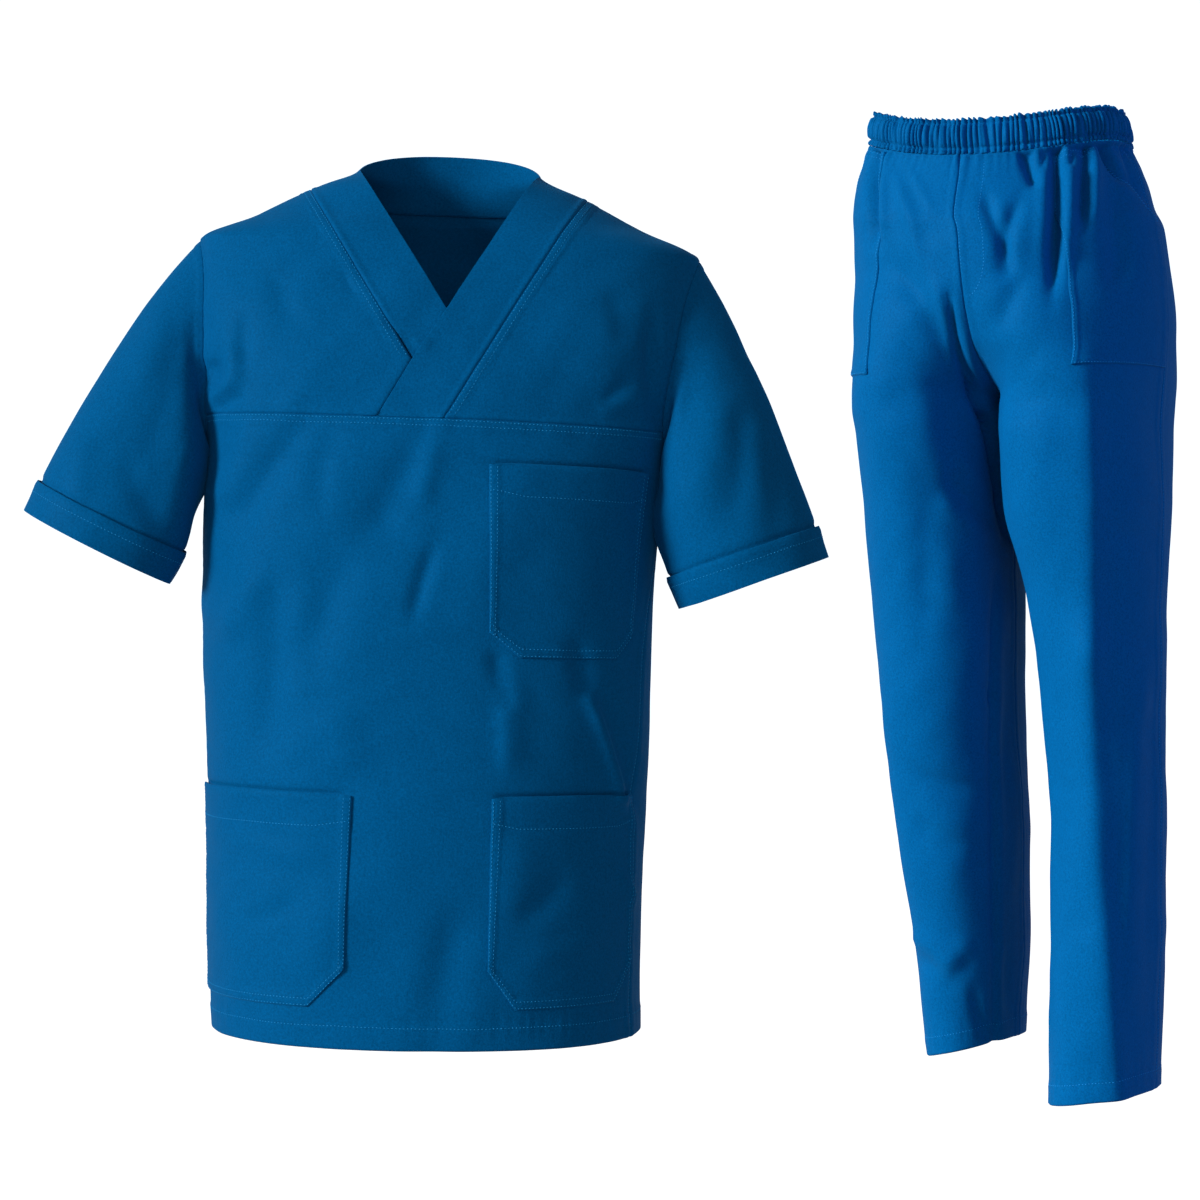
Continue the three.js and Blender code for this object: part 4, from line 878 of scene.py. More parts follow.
def pocket_sink(rows, columns):
    """The front falls in a little just above the mouths of its pockets."""
    depth = np.zeros(np.broadcast(rows, columns).shape)
    for shape in TUNIC_POCKETS.values():
        above = front_side("right", rows)[1] - front_side("right", PIT_ROWS + shape["top"])[1]
        inside = smooth((columns - shape["first"]) / 0.5) * smooth((shape["last"] - columns) / 0.5)
        depth = depth - sink_at(above, **POCKET_SINK) * inside
    return depth


def torso_sheet(name, rows, columns, place, edges=(), sink=None):
    q, z = place(rows[:, None], columns[None, :])
    points = torso_point(q, z)
    normals = torso_normal(q, z)
    moved = move_by_creases(points, normals, TUNIC_FRONT_CREASES, TUNIC_BACK_CREASES)
    if sink is not None:
        moved = moved + normals * sink(rows[:, None], columns[None, :])[..., None]
    moved = seam_relief(moved, normals, edges)
    return make_sheet(name, rows, columns, moved, normals)


def back_top(j):
    right, middle, left = YOKE_COLUMNS["right"], BACK_BAND_COLUMNS, YOKE_COLUMNS["left"]
    neck = back_neck(np.clip(j - right, 0, middle), True)
    shoulder_right = shoulder_seam("right", np.minimum(j, right))
    shoulder_left = shoulder_seam("left", np.minimum(BACK_COLUMNS - j, left))
    q = np.where(j <= right, -1, np.where(j <= right + middle, neck[0], -3))
    z = np.where(j <= right, shoulder_right[1], np.where(j <= right + middle, neck[1], shoulder_left[1]))
    return q, z


def back_neck(j, seam):
    share = j / BACK_BAND_COLUMNS
    middle = 1 - (2 * share - 1) ** 2
    low = SHOULDER_BAND_Z + (BACK_BAND_LOW_Z - SHOULDER_BAND_Z) * middle
    return -1 - 2 * share, low if seam else BACK_NECK_RISE * middle


def back_row(i, j):
    start, z = side_seam("right", np.maximum(i - ARM_ROWS, 0))
    end = side_seam("left", np.maximum(i - ARM_ROWS, 0))[0] - 4
    return start + (end - start) * j / BACK_COLUMNS, z


def back_place(i, j):
    upper = spread(
        ARM_ROWS, BACK_COLUMNS, back_top, lambda n: back_row(np.full(np.shape(n), ARM_ROWS), n),
        lambda n: armhole_back("right", n),
        lambda n: (armhole_back("left", n)[0] - 4, armhole_back("left", n)[1]), behind=True,
    )(np.minimum(i, ARM_ROWS), j)
    lower = back_row(i, j)
    above = i < ARM_ROWS
    return np.where(above, upper[0], lower[0]), np.where(above, upper[1], lower[1])


def band_top(side, j):
    return SIGN[side] + 0 * j, SHOULDER_BAND_Z * (1 - j / BAND_COLUMNS)


def band_right_foot(j):
    share = j / BAND_COLUMNS
    x = BAND_OUTER_RIGHT["x"][2] + (BAND_INNER_RIGHT["x"][2] - BAND_OUTER_RIGHT["x"][2]) * share
    z = BAND_OUTER_RIGHT["z"][2] + (BAND_INNER_RIGHT["z"][2] - BAND_OUTER_RIGHT["z"][2]) * share
    return front_turn(x, z), z


yoke_steps = steps_of(YOKE_ROWS, 8, near=20, far=20)
front_rows = joined_steps(PIT_ROWS, 4, LOWER_COUNT, LOWER_STEP, 9.75, 35)
front_rows = finer(front_rows, PIT_ROWS, PIT_ROW_MM)
front_rows = finer(front_rows, PIT_ROWS + 8, LOWER_ROW_MM)
back_rows = joined_steps(ARM_ROWS, ARM_STEP, LOWER_COUNT, 7, 15, 35)
band_steps = steps_of(BAND_COLUMNS, 8, near=22, far=22)
tunic = {
    "tunic_front": torso_sheet(
        "tunic_front", front_rows, steps_of(FRONT_COLUMN_COUNT, ACROSS_STEP, near=24, far=24), front_grid,
        (("top", 10, DOUBLE, 0.16), HEM_EDGE, *SIDE_EDGES), pocket_sink,
    ),
    "tunic_yoke_right": torso_sheet(
        "tunic_yoke_right", yoke_steps, steps_of(YOKE_COLUMNS["right"], ACROSS_STEP, near=20, far=20),
        spread(YOKE_ROWS, YOKE_COLUMNS["right"], lambda n: shoulder_seam("right", n),
               lambda n: front_grid(np.zeros_like(n), n), lambda n: armhole_front("right", n),
               lambda n: yoke_inner("right", n)),
        (("last", 10, DOUBLE, 0.14), ("first", 5, (), 0.15), ("foot", 4, (), 0.12)),
    ),
    "tunic_yoke_left": torso_sheet(
        "tunic_yoke_left", yoke_steps, steps_of(YOKE_COLUMNS["left"], ACROSS_STEP, near=20, far=20),
        spread(YOKE_ROWS, YOKE_COLUMNS["left"], lambda n: shoulder_seam("left", n),
               lambda n: front_grid(np.zeros_like(n), FRONT_COLUMN_COUNT - n),
               lambda n: armhole_front("left", n),
               lambda n: yoke_inner("left", n)),
        (("last", 10, DOUBLE, 0.14), ("first", 5, (), 0.15), ("foot", 4, (), 0.12)),
    ),
    "band_left": torso_sheet(
        "band_left", yoke_steps, band_steps,
        spread(YOKE_ROWS, BAND_COLUMNS, lambda n: band_top("left", n),
               lambda n: front_grid(np.zeros_like(n), YOKE_COLUMNS["right"] + BAND_COLUMNS - n),
               lambda n: yoke_inner("left", n), lambda n: band_line(BAND_INNER_LEFT, n)),
        (("first", 4, (), 0.1),),
    ),
    "band_right": torso_sheet(
        "band_right", steps_of(BAND_MEET_ROW + 1, 8), band_steps,
        spread(BAND_MEET_ROW + 1, BAND_COLUMNS, lambda n: band_top("right", n), band_right_foot,
               lambda n: band_line(BAND_OUTER_RIGHT, n), lambda n: band_line(BAND_INNER_RIGHT, n)),
        (("first", 4, (), 0.1),),
    ),
    "band_back": torso_sheet(
        "band_back", band_steps, steps_of(BACK_BAND_COLUMNS, 7),
        spread(BAND_COLUMNS, BACK_BAND_COLUMNS, lambda n: back_neck(n, True), lambda n: back_neck(n, False),
               lambda n: band_top("right", n), lambda n: (-3 + np.zeros_like(n), band_top("left", n)[1]),
               square_on=False),
    ),
    "tunic_back": torso_sheet(
        "tunic_back", back_rows, steps_of(BACK_COLUMNS, 6, near=20, far=20), back_place,
        (("top", 9, (), 0.1), HEM_EDGE, *SIDE_EDGES),
    ),
}

# The right band dives under the left one
dive = smooth((tunic["band_right"]["i"] - 5.2) / 1.2)[:, None, None] * BAND_DIVE
tunic["band_right"]["p"] = tunic["band_right"]["p"] - tunic["band_right"]["n"] * dive


# Sleeve grids
SLEEVE_ROW_MM = 34
SLEEVE_SAG = {"right": (12, 0.45), "left": (13, 0.6)}


def sleeve_sheet(side):
    shape = {key: np.array(value, float) for key, value in SLEEVE[side].items()}
    columns = np.linspace(0, SLEEVE_COLUMNS, SLEEVE_COLUMNS * 8 + 1)[:-1]
    rows = [steps_of(SLEEVE_ROWS - 1, 10, near=40)[:-2], steps_of(SLEEVE_ROWS, 8, SLEEVE_ROWS - 1)]
    rows = finer(np.concatenate(rows), SLEEVE_ROWS - 1, SLEEVE_ROW_MM)
    front = armhole_front(side, np.minimum(columns, ARM_ROWS))
    back = armhole_back(side, np.minimum(SLEEVE_COLUMNS - columns, ARM_ROWS))
    in_front = columns <= ARM_ROWS
    q, z = np.where(in_front, front[0], back[0]), np.where(in_front, front[1], back[1])
    start = move_by_creases(torso_point(q, z), torso_normal(q, z), TUNIC_FRONT_CREASES, TUNIC_BACK_CREASES)
    angle = 2 * math.pi * columns / SLEEVE_COLUMNS
    low = ((1 - np.cos(angle)) / 2)[:, None]
    end = shape["mouth"] + shape["across"] * (shape["half_width"] * np.cos(angle))[:, None]
    end = end - np.array([0, 1.0, 0]) * (shape["half_depth"] * np.sin(angle))[:, None]
    way = unit(shape["start_top"] * (1 - low) + shape["start_pit"] * low)
    end_way = unit(shape["down"] * (1 - low) + shape["inner_down"] * low)
    reach = SLEEVE_REACH["top"] + (SLEEVE_REACH["pit"] - SLEEVE_REACH["top"]) * low
    end_reach = SLEEVE_REACH["outer_end"] + (SLEEVE_REACH["inner_end"] - SLEEVE_REACH["outer_end"]) * low
    handles = (start, start + way * reach, end - end_way * end_reach, end)
    fine = np.linspace(1, 0.4, 121)
    lengths = np.cumsum(np.linalg.norm(np.diff(
        cubic(*handles, fine[:, None, None]), axis=0), axis=-1), 0)
    cuff = np.array([np.interp(CUFF_HEIGHT, lengths[:, k], fine[1:]) for k in range(len(columns))])
    t = np.where(
        rows[:, None] <= SLEEVE_ROWS - 1,
        cuff * rows[:, None] / (SLEEVE_ROWS - 1),
        cuff + (1 - cuff) * (rows[:, None] - SLEEVE_ROWS + 1),
    )
    points = cubic(*handles, t[..., None])
    heart = shape["mouth"] + shape["down"] * ((points - shape["mouth"]) @ shape["down"])[..., None]
    sheet = make_sheet(f"sleeve_{side}", rows, columns, points, points - heart, True)
    joined = smooth(rows / 1.2)[:, None]
    x, height = seen(points)
    facing = smooth((-sheet["n"][..., 1] + 0.1) / 0.5)
    depth = crease_depth(SLEEVE_CREASES, x, height) * facing
    facing_back = smooth((sheet["n"][..., 1] - 0.1) / 0.5)
    depth += crease_depth(SLEEVE_CREASES, x + 6, height - 12) * facing_back
    depth += unevenness(points) * (0.25 + 0.75 * np.abs(sheet["n"][..., 1]))
    share = rows[:, None] / (SLEEVE_ROWS - 1)
    hang, until = SLEEVE_SAG[side]
    sag = smooth((low[:, 0] - 0.5) / 0.5) * smooth(share / 0.3) * (1 - smooth((share - until) / 0.4))
    depth += hang * sag
    above_cuff = (SLEEVE_ROWS - 1 - rows[:, None]) * SLEEVE_ROW_MM
    depth = depth * joined - sink_at(above_cuff, **CUFF_SINK)
    moved = points + sheet["n"] * depth[..., None]
    moved = seam_relief(moved, sheet["n"], (("top", 7, (), 0.22),))
    return make_sheet(f"sleeve_{side}", rows, columns, moved, points - heart, True)


for side in ("right", "left"):
    tunic[f"sleeve_{side}"] = sleeve_sheet(side)


# Trouser grids
def place_trousers(x, y, z, lean):
    cos, sin = math.cos(TROUSERS_TURN), math.sin(TROUSERS_TURN)
    across = x * cos + y * sin
    high = smooth((z - SLOPE_END_Z) / (WAIST_SEAM_Z - SLOPE_END_Z))
    forward = np.minimum(0, y) / WAIST_DIP_REACH
    lift = high * (WAIST_SLOPE * across - WAIST_DIP * forward * forward)
    place = (TROUSERS_X + across + lean, TROUSERS_Y - x * sin + y * cos, z + lift)
    return np.stack(np.broadcast_arrays(*place), -1)


def leg_table(side):
    rows = list(TRUNK)
    for n, mid, half, forward, back, y, out_z, in_z in LEG[side]:
        rows.append((n, mid + half, y, out_z, mid - half, y, in_z, y, in_z,
                     forward, back, FULL_LOOP, 90, 0))
    return table(TRUNK_COLUMNS, *rows)


def trouser_sheet(side, face):
    rows_table = leg_table(side)
    across = FRONT_PANEL_COLUMNS if face == "front" else BACK_PANEL_COLUMNS
    rows = joined_steps(9, 7, TROUSER_ROWS - 9, 9, 23, 66)
    columns = steps_of(across, 6 if face == "front" else 7, near=20, far=20)
    at = lambda key: read(rows_table, "n", key, rows)[:, None]
    if face == "front":
        edge = read_straight(POCKET_EDGE, "n", "share", rows)[:, None]
        inside = TROUSER_POCKET["columns"]
        past = (columns[None, :] - inside) / (across - inside)
        t = np.where(past < 0, edge * columns[None, :] / inside, edge + (1 - edge) * past)
    else:
        t = np.broadcast_to(columns[None, :] / across, (len(rows), len(columns)))
    forward = -1 if face == "front" else 1
    reach, corner, turn = at(f"{face}Reach"), at("corner"), np.radians(at("turn"))
    out_x, in_x = at("outX"), at("inX")
    out_y, in_y = at("outY"), at(f"{face}Y")
    x = cubic(out_x, out_x, in_x + corner * np.cos(turn) * (out_x - in_x), in_x, t)
    bulge = forward * corner * reach
    y = cubic(out_y, out_y + bulge, in_y + np.sin(turn) * bulge, in_y, t)
    z = cubic(at("outZ"), at("outZ"), at(f"{face}Z"), at(f"{face}Z"), t)
    points = place_trousers(SIGN[side] * x, y, z, at("lean"))
    heart = place_trousers(SIGN[side] * LEG_MIDDLE, 0 * z, z, 0)
    return make_sheet(f"trousers_{face}_{side}", rows, columns, points, points - heart)


trousers = {}
for side in ("right", "left"):
    for face in ("front", "back"):
        sheet = trouser_sheet(side, face)
        trousers[sheet["name"]] = sheet
weld(trousers.values())
PUCKERS = 74
for sheet in trousers.values():
    middle = np.array([TROUSERS_X - 12, TROUSERS_Y, 0])
    away = sheet["p"] - middle
    around = np.arctan2(away[..., 1], away[..., 0])
    below_waist = lengths_along(sheet["p"], 0)
    ripple = np.sin(PUCKERS * around + 2.2 * np.sin(5 * around) + 1.4 * np.sin(11 * around))
    ripple = ripple * np.exp(-below_waist / 12) * smooth((below_waist + 1) / 4) * 1.7
    outward = sheet["n"]
    joined = 0.15 + 0.85 * smooth(below_waist / 5)
    moved = move_by_creases(sheet["p"], outward, TROUSER_FRONT_CREASES, TROUSER_BACK_CREASES, joined)
    moved = moved + outward * ripple[..., None]
    edges = [("foot", TROUSER_HEM, (TROUSER_HEM,), 0.2), ("last", 6, (), 0.14)]
    edges.append(("first", 9, SINGLE if "back" in sheet["name"] else (), 0.14))
    sheet["p"] = seam_relief(moved, outward, edges)
    sheet["n"] = grid_normals(sheet["p"], outward, False)
weld(trousers.values())


def waistband_sheet():
    """The casing: its upper edge stands in a ruffle over the elastic and each gather wanders and varies."""
    rows = np.linspace(0, 2, 25)
    columns = np.linspace(0, 2 * GATHERS, GATHERS * 8 + 1)[:-1]
    turn = 4 * columns[None, :] / (2 * GATHERS)
    quarter = np.floor(turn)
    t = turn - quarter
    at = lambda key: read(WAISTBAND, "n", key, rows)[:, None]
    to_side = quarter % 2 == 0
    across = at("half") * across_share(np.where(to_side, t, 1 - t), at("corner"))
    deep = across_share(np.where(to_side, 1 - t, t), at("corner"))
    x = np.where(quarter < 2, across, -across)
    y = np.where((quarter == 0) | (quarter == 3), -at("front") * deep, at("back") * deep)
    points = place_trousers(x, y, at("z"), at("lean"))
    heart = place_trousers(0 * x, 0 * x, at("z"), 0)
    sheet = make_sheet("waistband", rows, columns, points, points - heart, True)
    share = rows[:, None] / 2
    n = math.pi * columns[None, :] / GATHERS
    phase = GATHERS * n + 2.1 * np.sin(7 * n + 1) + 1.6 * np.sin(17 * n) + 1.0 * np.sin(41 * n + 2)
    sway = (share - 0.4) * (1.5 * np.sin(9 * n + 1) + 1.1 * np.sin(23 * n + 3.5))
    rib = 0.5 + 0.5 * np.cos(phase + sway)
    strong = 0.68 + 0.32 * np.sin(13 * n + 2.0 * share + 0.6) * np.sin(29 * n + 1)
    fine = 0.35 * np.sin(3.3 * GATHERS / 2 * n + 3 * np.sin(11 * n) + 4 * share)
    held = np.exp(-(((share - 0.17) / 0.045) ** 2)) + np.exp(-(((share - 0.86) / 0.04) ** 2))
    depth = (5 * (1 - (1 - rib) ** 1.9) * strong + fine) * (1 - 0.6 * held) - 0.4 * held - 2.6
    depth += 0.9 * np.sin(math.pi * np.clip((share - 0.15) / 0.72, 0, 1))
    ruffle = smooth((share - 0.86) / 0.14)
    depth += ruffle * (0.9 * np.sin(phase + 1.2 * np.sin(19 * n)) - 0.3)
    low = 1 - smooth(share / 0.03)
    depth = depth * (1 - 0.7 * low)
    sheet["p"] = points + sheet["n"] * depth[..., None]
    sheet["p"][..., 2] += ruffle * (0.7 * np.cos(phase + 1) + 0.4 * np.sin(31 * n))
    return make_sheet("waistband", rows, columns, sheet["p"], points - heart, True)


# Shells of all large pieces
for name, sheet in tunic.items():
    wall = BAND_WALL if name.startswith("band") else CLOTH_WALL
    add_shell(f"{name}_cloth", name, sheet["p"], sheet["n"], wall, "tunic_cloth", sheet["ring"])
for name, sheet in trousers.items():
    add_shell(f"{name}_cloth", name, sheet["p"], sheet["n"], CLOTH_WALL, "trouser_cloth")
waistband = waistband_sheet()
add_shell("waistband_cloth", "waistband", waistband["p"], waistband["n"], 0.9, "trouser_cloth", True)


# Pieces laid on others
def laid(name, panel, i, j, lift, slot_name, ring=False, edges=()):
    points, normals = sample(panel, i, j)
    base = CAD_HALF_WALL + LAY_GAP + LAID_WALL / 2
    points = points + normals * (base + lift)[..., None]
    points = seam_relief(points, normals, edges)
    add_shell(f"{name}_cloth", name, points, normals, LAID_WALL, slot_name, ring)
    return dict(p=points, n=normals)


laid_sheets = {}
for side in ("right", "left"):
    sleeve = tunic[f"sleeve_{side}"]
    rows = steps_of(SLEEVE_ROWS, 10, SLEEVE_ROWS - 1)
    i, j = np.broadcast_arrays(rows[:, None], sleeve["j"][None, :])
    flare = 1.7 * (SLEEVE_ROWS - i) ** 3 + 0.25 * np.sin(j * 2.1) * (SLEEVE_ROWS - i)
    laid_sheets[f"cuff_{side}"] = laid(f"cuff_{side}", sleeve, i, j, flare - 0.3, "tunic_cloth", True)


def tunic_pocket(name, shape):
    columns = steps_of(shape["last"], 7, shape["first"], near=24, far=24)
    top, foot = PIT_ROWS + shape["top"], PIT_ROWS + shape["foot"]
    v = steps_of(1, 50, near=180, far=180)
    from_first, from_last = columns - shape["first"], shape["last"] - columns
    foot_line = np.full(len(columns), float(foot))
    foot_line -= shape["cuts"][0] * np.clip(1 - from_first, 0, 1)
    foot_line -= shape["cuts"][1] * np.clip(1 - from_last, 0, 1)
    i = top + v[:, None] * (foot_line - top)[None, :]
    margin = shape["margins"][0] * np.clip(1 - from_first, 0, 1)
    margin = margin - shape["margins"][1] * np.clip(1 - from_last, 0, 1)
    j = np.broadcast_to((columns + margin)[None, :], i.shape)
    u = (from_first / (shape["last"] - shape["first"]))[None, :]
    gape = 2.4 * np.sin(math.pi * u) ** 0.6 * (1 - v[:, None]) ** 12
    hem = 0.45 * smooth((0.19 - v[:, None]) / 0.01)
    edges = (("foot", 9, DOUBLE, 0.12), *SIDE_EDGES)
    return laid(name, tunic["tunic_front"], i, j, gape + hem - 0.2, "tunic_cloth", edges=edges)


for name, shape in TUNIC_POCKETS.items():
    laid_sheets[name] = tunic_pocket(name, shape)

for side in ("right", "left"):
    columns = steps_of(TROUSER_POCKET["columns"], 6, near=20, far=20)
    top_line = np.maximum(TROUSER_POCKET["mouth"] - columns, TROUSER_POCKET["top_margin"])
    v = steps_of(1, 60, near=220, far=220)
    i = top_line[None, :] + v[:, None] * (TROUSER_POCKET["foot"] - top_line)[None, :]
    j = np.broadcast_to(columns[None, :], i.shape)
    mouth = (columns < TROUSER_POCKET["mouth"])[None, :]
    share = np.clip(columns[None, :] / TROUSER_POCKET["mouth"], 0, 1)
    gape = 2.6 * np.sin(math.pi * share) * (1 - v[:, None]) ** 5
    laid_sheets[f"trouser_pocket_{side}"] = laid(
        f"trouser_pocket_{side}", trousers[f"trousers_front_{side}"], i, j, gape * mouth - 0.3,
        "trouser_cloth", edges=(("foot", 5, SINGLE, 0.1), ("last", 5, SINGLE, 0.1)),
    )


# Stitches
STITCH_LENGTH = 2.4
STITCH_PITCH = 3.4
STITCH_HALF_WIDTH = 0.55
STITCH_RISE = 0.55
stitch_lines = {"tunic_cloth": [], "trouser_cloth": []}


def stitch_line(slot_name, points, normals, lift):
    stitch_lines[slot_name].append((points, normals, lift))


def stitch_mesh(lines):
    vertices, faces = [], []
    for points, normals, lift in lines:
        lengths = np.concatenate([[0], np.cumsum(np.linalg.norm(np.diff(points, axis=0), axis=-1))])
        count = int(lengths[-1] // STITCH_PITCH)
        if count < 1:
            continue
        start = STITCH_PITCH * np.arange(count) + (lengths[-1] - STITCH_PITCH * count) / 2
        at = lambda s, values: np.stack([np.interp(s, lengths, values[:, k]) for k in range(3)], -1)
        n = unit(at(start + STITCH_LENGTH / 2, normals))
        a = at(start, points) + n * (lift - 0.12)
        b = at(start + STITCH_LENGTH, points) + n * (lift - 0.12)
        side = unit(np.cross(b - a, n))
        middle = (a + b) / 2
        across = side * STITCH_HALF_WIDTH
        ring = [middle + across, middle + n * STITCH_RISE, middle - across]
        base = sum(len(v) for v in vertices)
        vertices.append(np.stack([a, *ring, b], 1).reshape(-1, 3))
        for k in range(count):
            o = base + 5 * k
            faces += [(o, o + 1, o + 2), (o, o + 2, o + 3), (o, o + 3, o + 1),
                      (o + 4, o + 2, o + 1), (o + 4, o + 3, o + 2), (o + 4, o + 1, o + 3)]
    return np.concatenate(vertices), faces


def inset_line(sheet, rows, columns, way, distance):
    """Points of a sheet at a distance from a line of rows and columns, along a way in rows and columns."""
    near, _ = sample(sheet, rows, columns)
    step = 0.1
    far, _ = sample(sheet, rows + way[0] * step, columns + way[1] * step)
    reach = distance * step / np.maximum(np.linalg.norm(far - near, axis=-1), 0.2)
    return sample(sheet, rows + way[0] * reach, columns + way[1] * reach)


def seam_stitches(slot_name, sheet, rows, columns, way, distances, lift=CLOTH_WALL / 2):
    rows, columns = np.broadcast_arrays(np.asarray(rows, float), np.asarray(columns, float))
    for distance in distances:
        points, normals = inset_line(sheet, rows, columns, way, distance)
        stitch_line(slot_name, points, normals, lift)


across_front = np.linspace(0.1, FRONT_COLUMN_COUNT - 0.1, 240)
seam_stitches("tunic_cloth", tunic["tunic_front"], 0, across_front, (1, 0), DOUBLE)
hem_row = PIT_ROWS + LOWER_COUNT
seam_stitches("tunic_cloth", tunic["tunic_front"], hem_row, across_front, (-1, 0), (HEM,))
seam_stitches("tunic_cloth", tunic["tunic_back"], ARM_ROWS + LOWER_COUNT,
              np.linspace(0.1, BACK_COLUMNS - 0.1, 300), (-1, 0), (HEM,))
for side, end, count in (("left", YOKE_ROWS, 160), ("right", BAND_MEET_ROW, 140)):
    seam_stitches("tunic_cloth", tunic[f"tunic_yoke_{side}"], np.linspace(0.1, end - 0.1, count),
                  YOKE_COLUMNS[side], (0, -1), DOUBLE)
neck_columns = np.linspace(0.1, BACK_BAND_COLUMNS - 0.1, 160) + YOKE_COLUMNS["right"]
seam_stitches("tunic_cloth", tunic["tunic_back"], 0, neck_columns, (1, 0), SINGLE)
lower = np.linspace(PIT_ROWS + 0.3, hem_row - 0.1, 260)
seam_stitches("tunic_cloth", tunic["tunic_front"], lower, 0, (0, 1), SINGLE)
seam_stitches("tunic_cloth", tunic["tunic_front"], lower, FRONT_COLUMN_COUNT, (0, -1), SINGLE)


def grid_line(shell, i, j):
    """Points and normals along fractional grid indices of a laid piece."""
    points, normals = shell["p"], shell["n"]
    a, b = np.floor(i).astype(int), np.floor(j).astype(int)
    a, b = np.clip(a, 0, points.shape[0] - 2), np.clip(b, 0, points.shape[1] - 2)
    v, u = (i - a)[:, None], (j - b)[:, None]
    return tuple(
        (1 - v) * ((1 - u) * g[a, b] + u * g[a, b + 1]) + v * ((1 - u) * g[a + 1, b] + u * g[a + 1, b + 1])
        for g in (points, normals)
    )


def laid_edge(slot_name, shell, edge, distances):
    """Stitches beside one edge of a laid piece: top, foot, first or last column."""
    rows, columns = shell["p"].shape[:2]
    for distance in distances:
        if edge in ("top", "foot"):
            j = np.linspace(2, columns - 3, 200)
            line = shell["p"][:, columns // 2]
            lengths = np.concatenate([[0], np.cumsum(np.linalg.norm(np.diff(line, axis=0), axis=-1))])
            at = distance if edge == "top" else lengths[-1] - distance
            i = np.full(j.shape, np.interp(at, lengths, np.arange(rows)))
        else:
            i = np.linspace(2, rows - 3, 200)
            first = edge == "first"
            span = shell["p"] if first else shell["p"][:, ::-1]
            lengths = np.cumsum(np.linalg.norm(np.diff(span, axis=1), axis=-1), 1)
            lengths = np.concatenate([np.zeros((rows, 1)), lengths], 1)
            per_row = np.array([np.interp(distance, lengths[k], np.arange(columns)) for k in range(rows)])
            j = np.interp(i, np.arange(rows), per_row)
            j = j if first else columns - 1 - j
        points, normals = grid_line(shell, i, j)
        stitch_line(slot_name, points, normals, LAID_WALL / 2)


for name in TUNIC_POCKETS:
    laid_edge("tunic_cloth", laid_sheets[name], "top", (POCKET_HEM,))
    for edge in ("foot", "first", "last"):
        laid_edge("tunic_cloth", laid_sheets[name], edge, DOUBLE)
for side in ("right", "left"):
    cuff = laid_sheets[f"cuff_{side}"]
    ringed = {key: np.concatenate([grid, grid[:, :1]], 1) for key, grid in cuff.items()}
    laid_edge("tunic_cloth", ringed, "top", (CUFF_STITCH,))
    pocket = laid_sheets[f"trouser_pocket_{side}"]
    laid_edge("trouser_cloth", pocket, "top", (2.2, 7))
    laid_edge("trouser_cloth", pocket, "foot", SINGLE)
    laid_edge("trouser_cloth", pocket, "last", SINGLE)
    for face, last in (("front", FRONT_PANEL_COLUMNS), ("back", BACK_PANEL_COLUMNS)):
        panel = trousers[f"trousers_{face}_{side}"]
        across = np.linspace(0.1, last - 0.1, 160)
        seam_stitches("trouser_cloth", panel, TROUSER_ROWS, across, (-1, 0), (TROUSER_HEM,))
    back_panel = trousers[f"trousers_back_{side}"]
    seam_stitches("trouser_cloth", back_panel, np.linspace(0.2, TROUSER_ROWS - 0.2, 400), 0, (0, 1), SINGLE)

# Mock fly: a line beside the front seam that hooks back to it
fly_rows = np.linspace(0.3, 6.05, 120)
fly = trousers["trousers_front_left"]
hook = 24 * np.sqrt(np.clip(1 - ((fly_rows - 5.05) / 1.0).clip(0, 1) ** 2, 0, 1)) + 2
step_points, _ = sample(fly, fly_rows, np.full(120, float(FRONT_PANEL_COLUMNS)))
near_points, _ = sample(fly, fly_rows, np.full(120, FRONT_PANEL_COLUMNS - 1.0))
column_width = np.linalg.norm(step_points - near_points, axis=-1)
fly_points, fly_normals = sample(fly, fly_rows, FRONT_PANEL_COLUMNS - hook / column_width)
stitch_line("trouser_cloth", fly_points, fly_normals, CLOTH_WALL / 2)
seam_stitches("trouser_cloth", fly, np.linspace(0.2, 5.4, 120), FRONT_PANEL_COLUMNS, (0, -1), SINGLE)

for slot_name, lines in stitch_lines.items():
    vertices, faces = stitch_mesh(lines)
    add_object(slot_name.replace("cloth", "stitches"), vertices, faces, THREADS[slot_name], slot_name)


# Stage, light and camera
def seen_or_not(tree, socket, seen_strength, light_strength):
    """A strength that the camera sees, and another that lights the cloth."""
    path = tree.nodes.new("ShaderNodeLightPath")
    mix = tree.nodes.new("ShaderNodeMapRange")
    mix.inputs["To Min"].default_value = light_strength
    mix.inputs["To Max"].default_value = seen_strength
    tree.links.new(path.outputs["Is Camera Ray"], mix.inputs["Value"])
    tree.links.new(mix.outputs["Result"], socket)


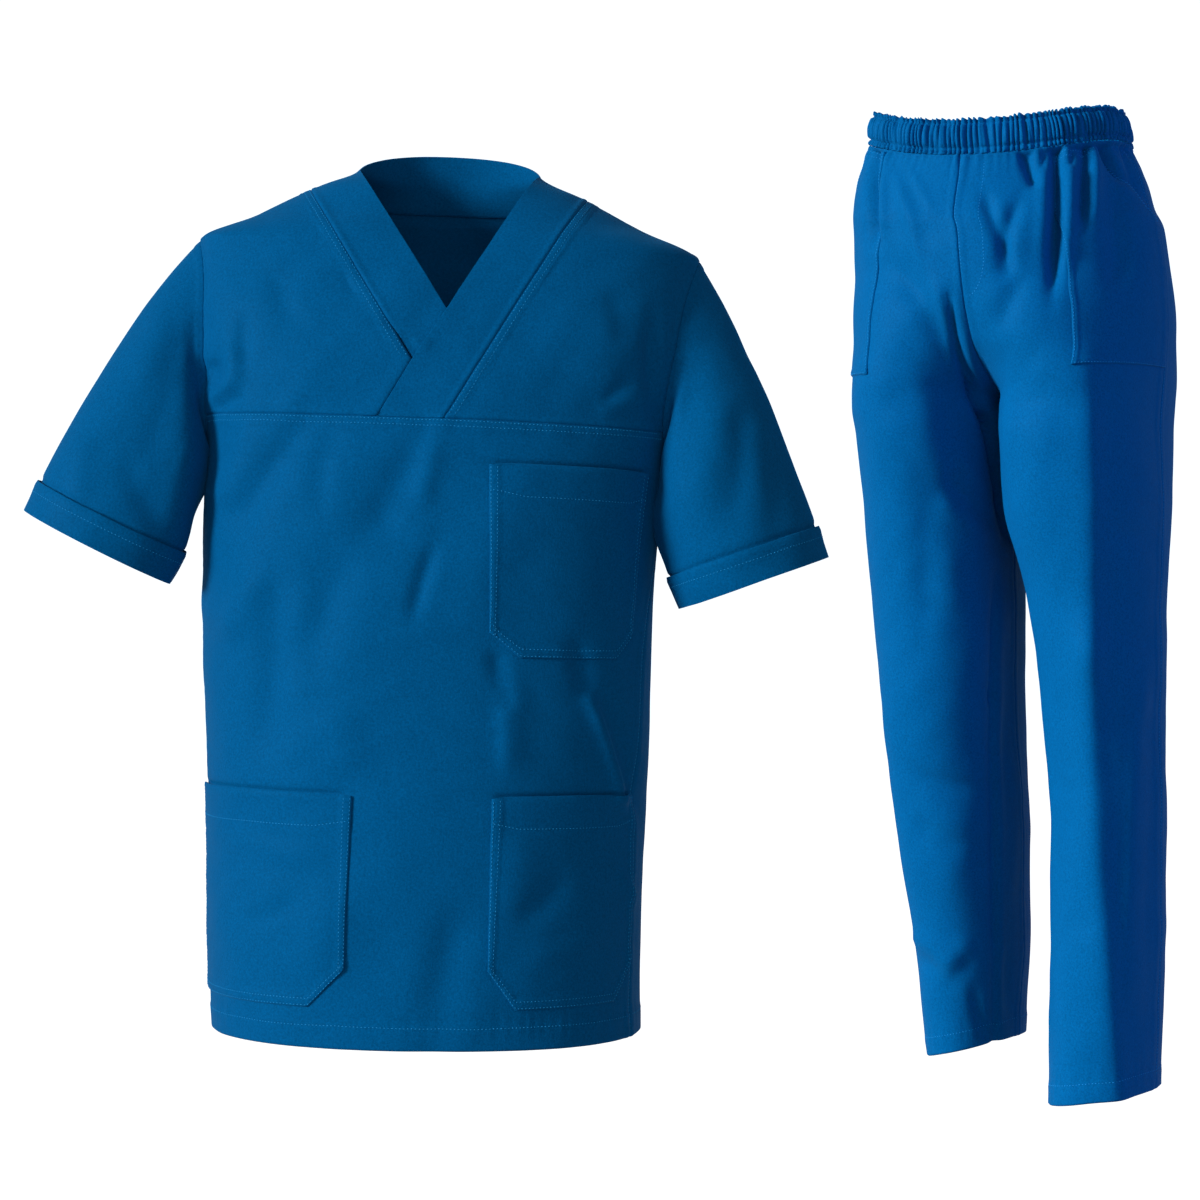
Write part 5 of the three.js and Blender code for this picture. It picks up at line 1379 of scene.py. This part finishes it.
def add_floor():
    material = bpy.data.materials.new("pale_floor")
    material.use_nodes = True
    shader = material.node_tree.nodes["Principled BSDF"]
    shader.inputs["Base Color"].default_value = (0.9, 0.9, 0.9, 1)
    shader.inputs["Roughness"].default_value = 0.9
    shader.inputs["Specular IOR Level"].default_value = 0
    shader.inputs["Emission Color"].default_value = (1, 1, 1, 1)
    seen_or_not(material.node_tree, shader.inputs["Emission Strength"], 1.0, 0.12)
    floor_z = -1.05
    vertices = [(x, y, floor_z) for y in (-9, 9) for x in (-9, 9)]
    faces = [(0, 1, 3, 2)]
    mesh = bpy.data.meshes.new("floor")
    mesh.from_pydata(vertices, [], faces)
    mesh.polygons.foreach_set("use_smooth", np.ones(len(mesh.polygons), bool))
    mesh.materials.append(material)
    floor = bpy.data.objects.new("floor", mesh)
    bpy.context.scene.collection.objects.link(floor)


WHITE = (1, 1, 1)
LIGHTS = (
    ("tunic_cloth", "key", -60, 14, 3.5, 18, WHITE),
    ("trouser_cloth", "key", -75, 17, 4.9, 18, WHITE),
    ("tunic_cloth", "front", 4, 14, 0.5, 50, WHITE),
    ("trouser_cloth", "front", 4, 14, 0.3, 50, WHITE),
    ("trouser_cloth", "fill", 45, 10, 0.9, 60, (0.05, 0.15, 1)),
)


def add_sun(name, azimuth, elevation, strength, lit, spread, colour):
    """A soft light of one garment alone, whose neighbour doesn't shade it."""
    data = bpy.data.lights.new(name, "SUN")
    data.energy = strength
    data.angle = math.radians(spread)
    data.color = colour
    light = bpy.data.objects.new(name, data)
    light.rotation_euler = (math.radians(90 - elevation), 0, math.radians(azimuth))
    bpy.context.scene.collection.objects.link(light)
    light.light_linking.receiver_collection = lit
    light.light_linking.blocker_collection = lit


add_floor()
for slot_name, *light in LIGHTS:
    garment = "tunic" if slot_name == "tunic_cloth" else "trousers"
    name, azimuth, elevation, strength, spread, colour = light
    add_sun(f"{name}_{garment}", azimuth, elevation, strength, GARMENTS[slot_name], spread, colour)
world = bpy.data.worlds.new("studio")
bpy.context.scene.world = world
world.use_nodes = True
world.node_tree.nodes["Background"].inputs["Color"].default_value = (0.86, 0.94, 1, 1)
seen_or_not(world.node_tree, world.node_tree.nodes["Background"].inputs["Strength"], 1.2, 0.19)

bpy.context.scene.view_settings.view_transform = "Standard"
camera_data = bpy.data.cameras.new("camera")
camera_data.lens = LENS_MM
camera_data.sensor_width = 36
camera = bpy.data.objects.new("camera", camera_data)
camera.location = [c / 1000 for c in CAMERA]
camera.rotation_euler = (math.radians(90), 0, 0)
bpy.context.scene.collection.objects.link(camera)
bpy.context.scene.camera = camera
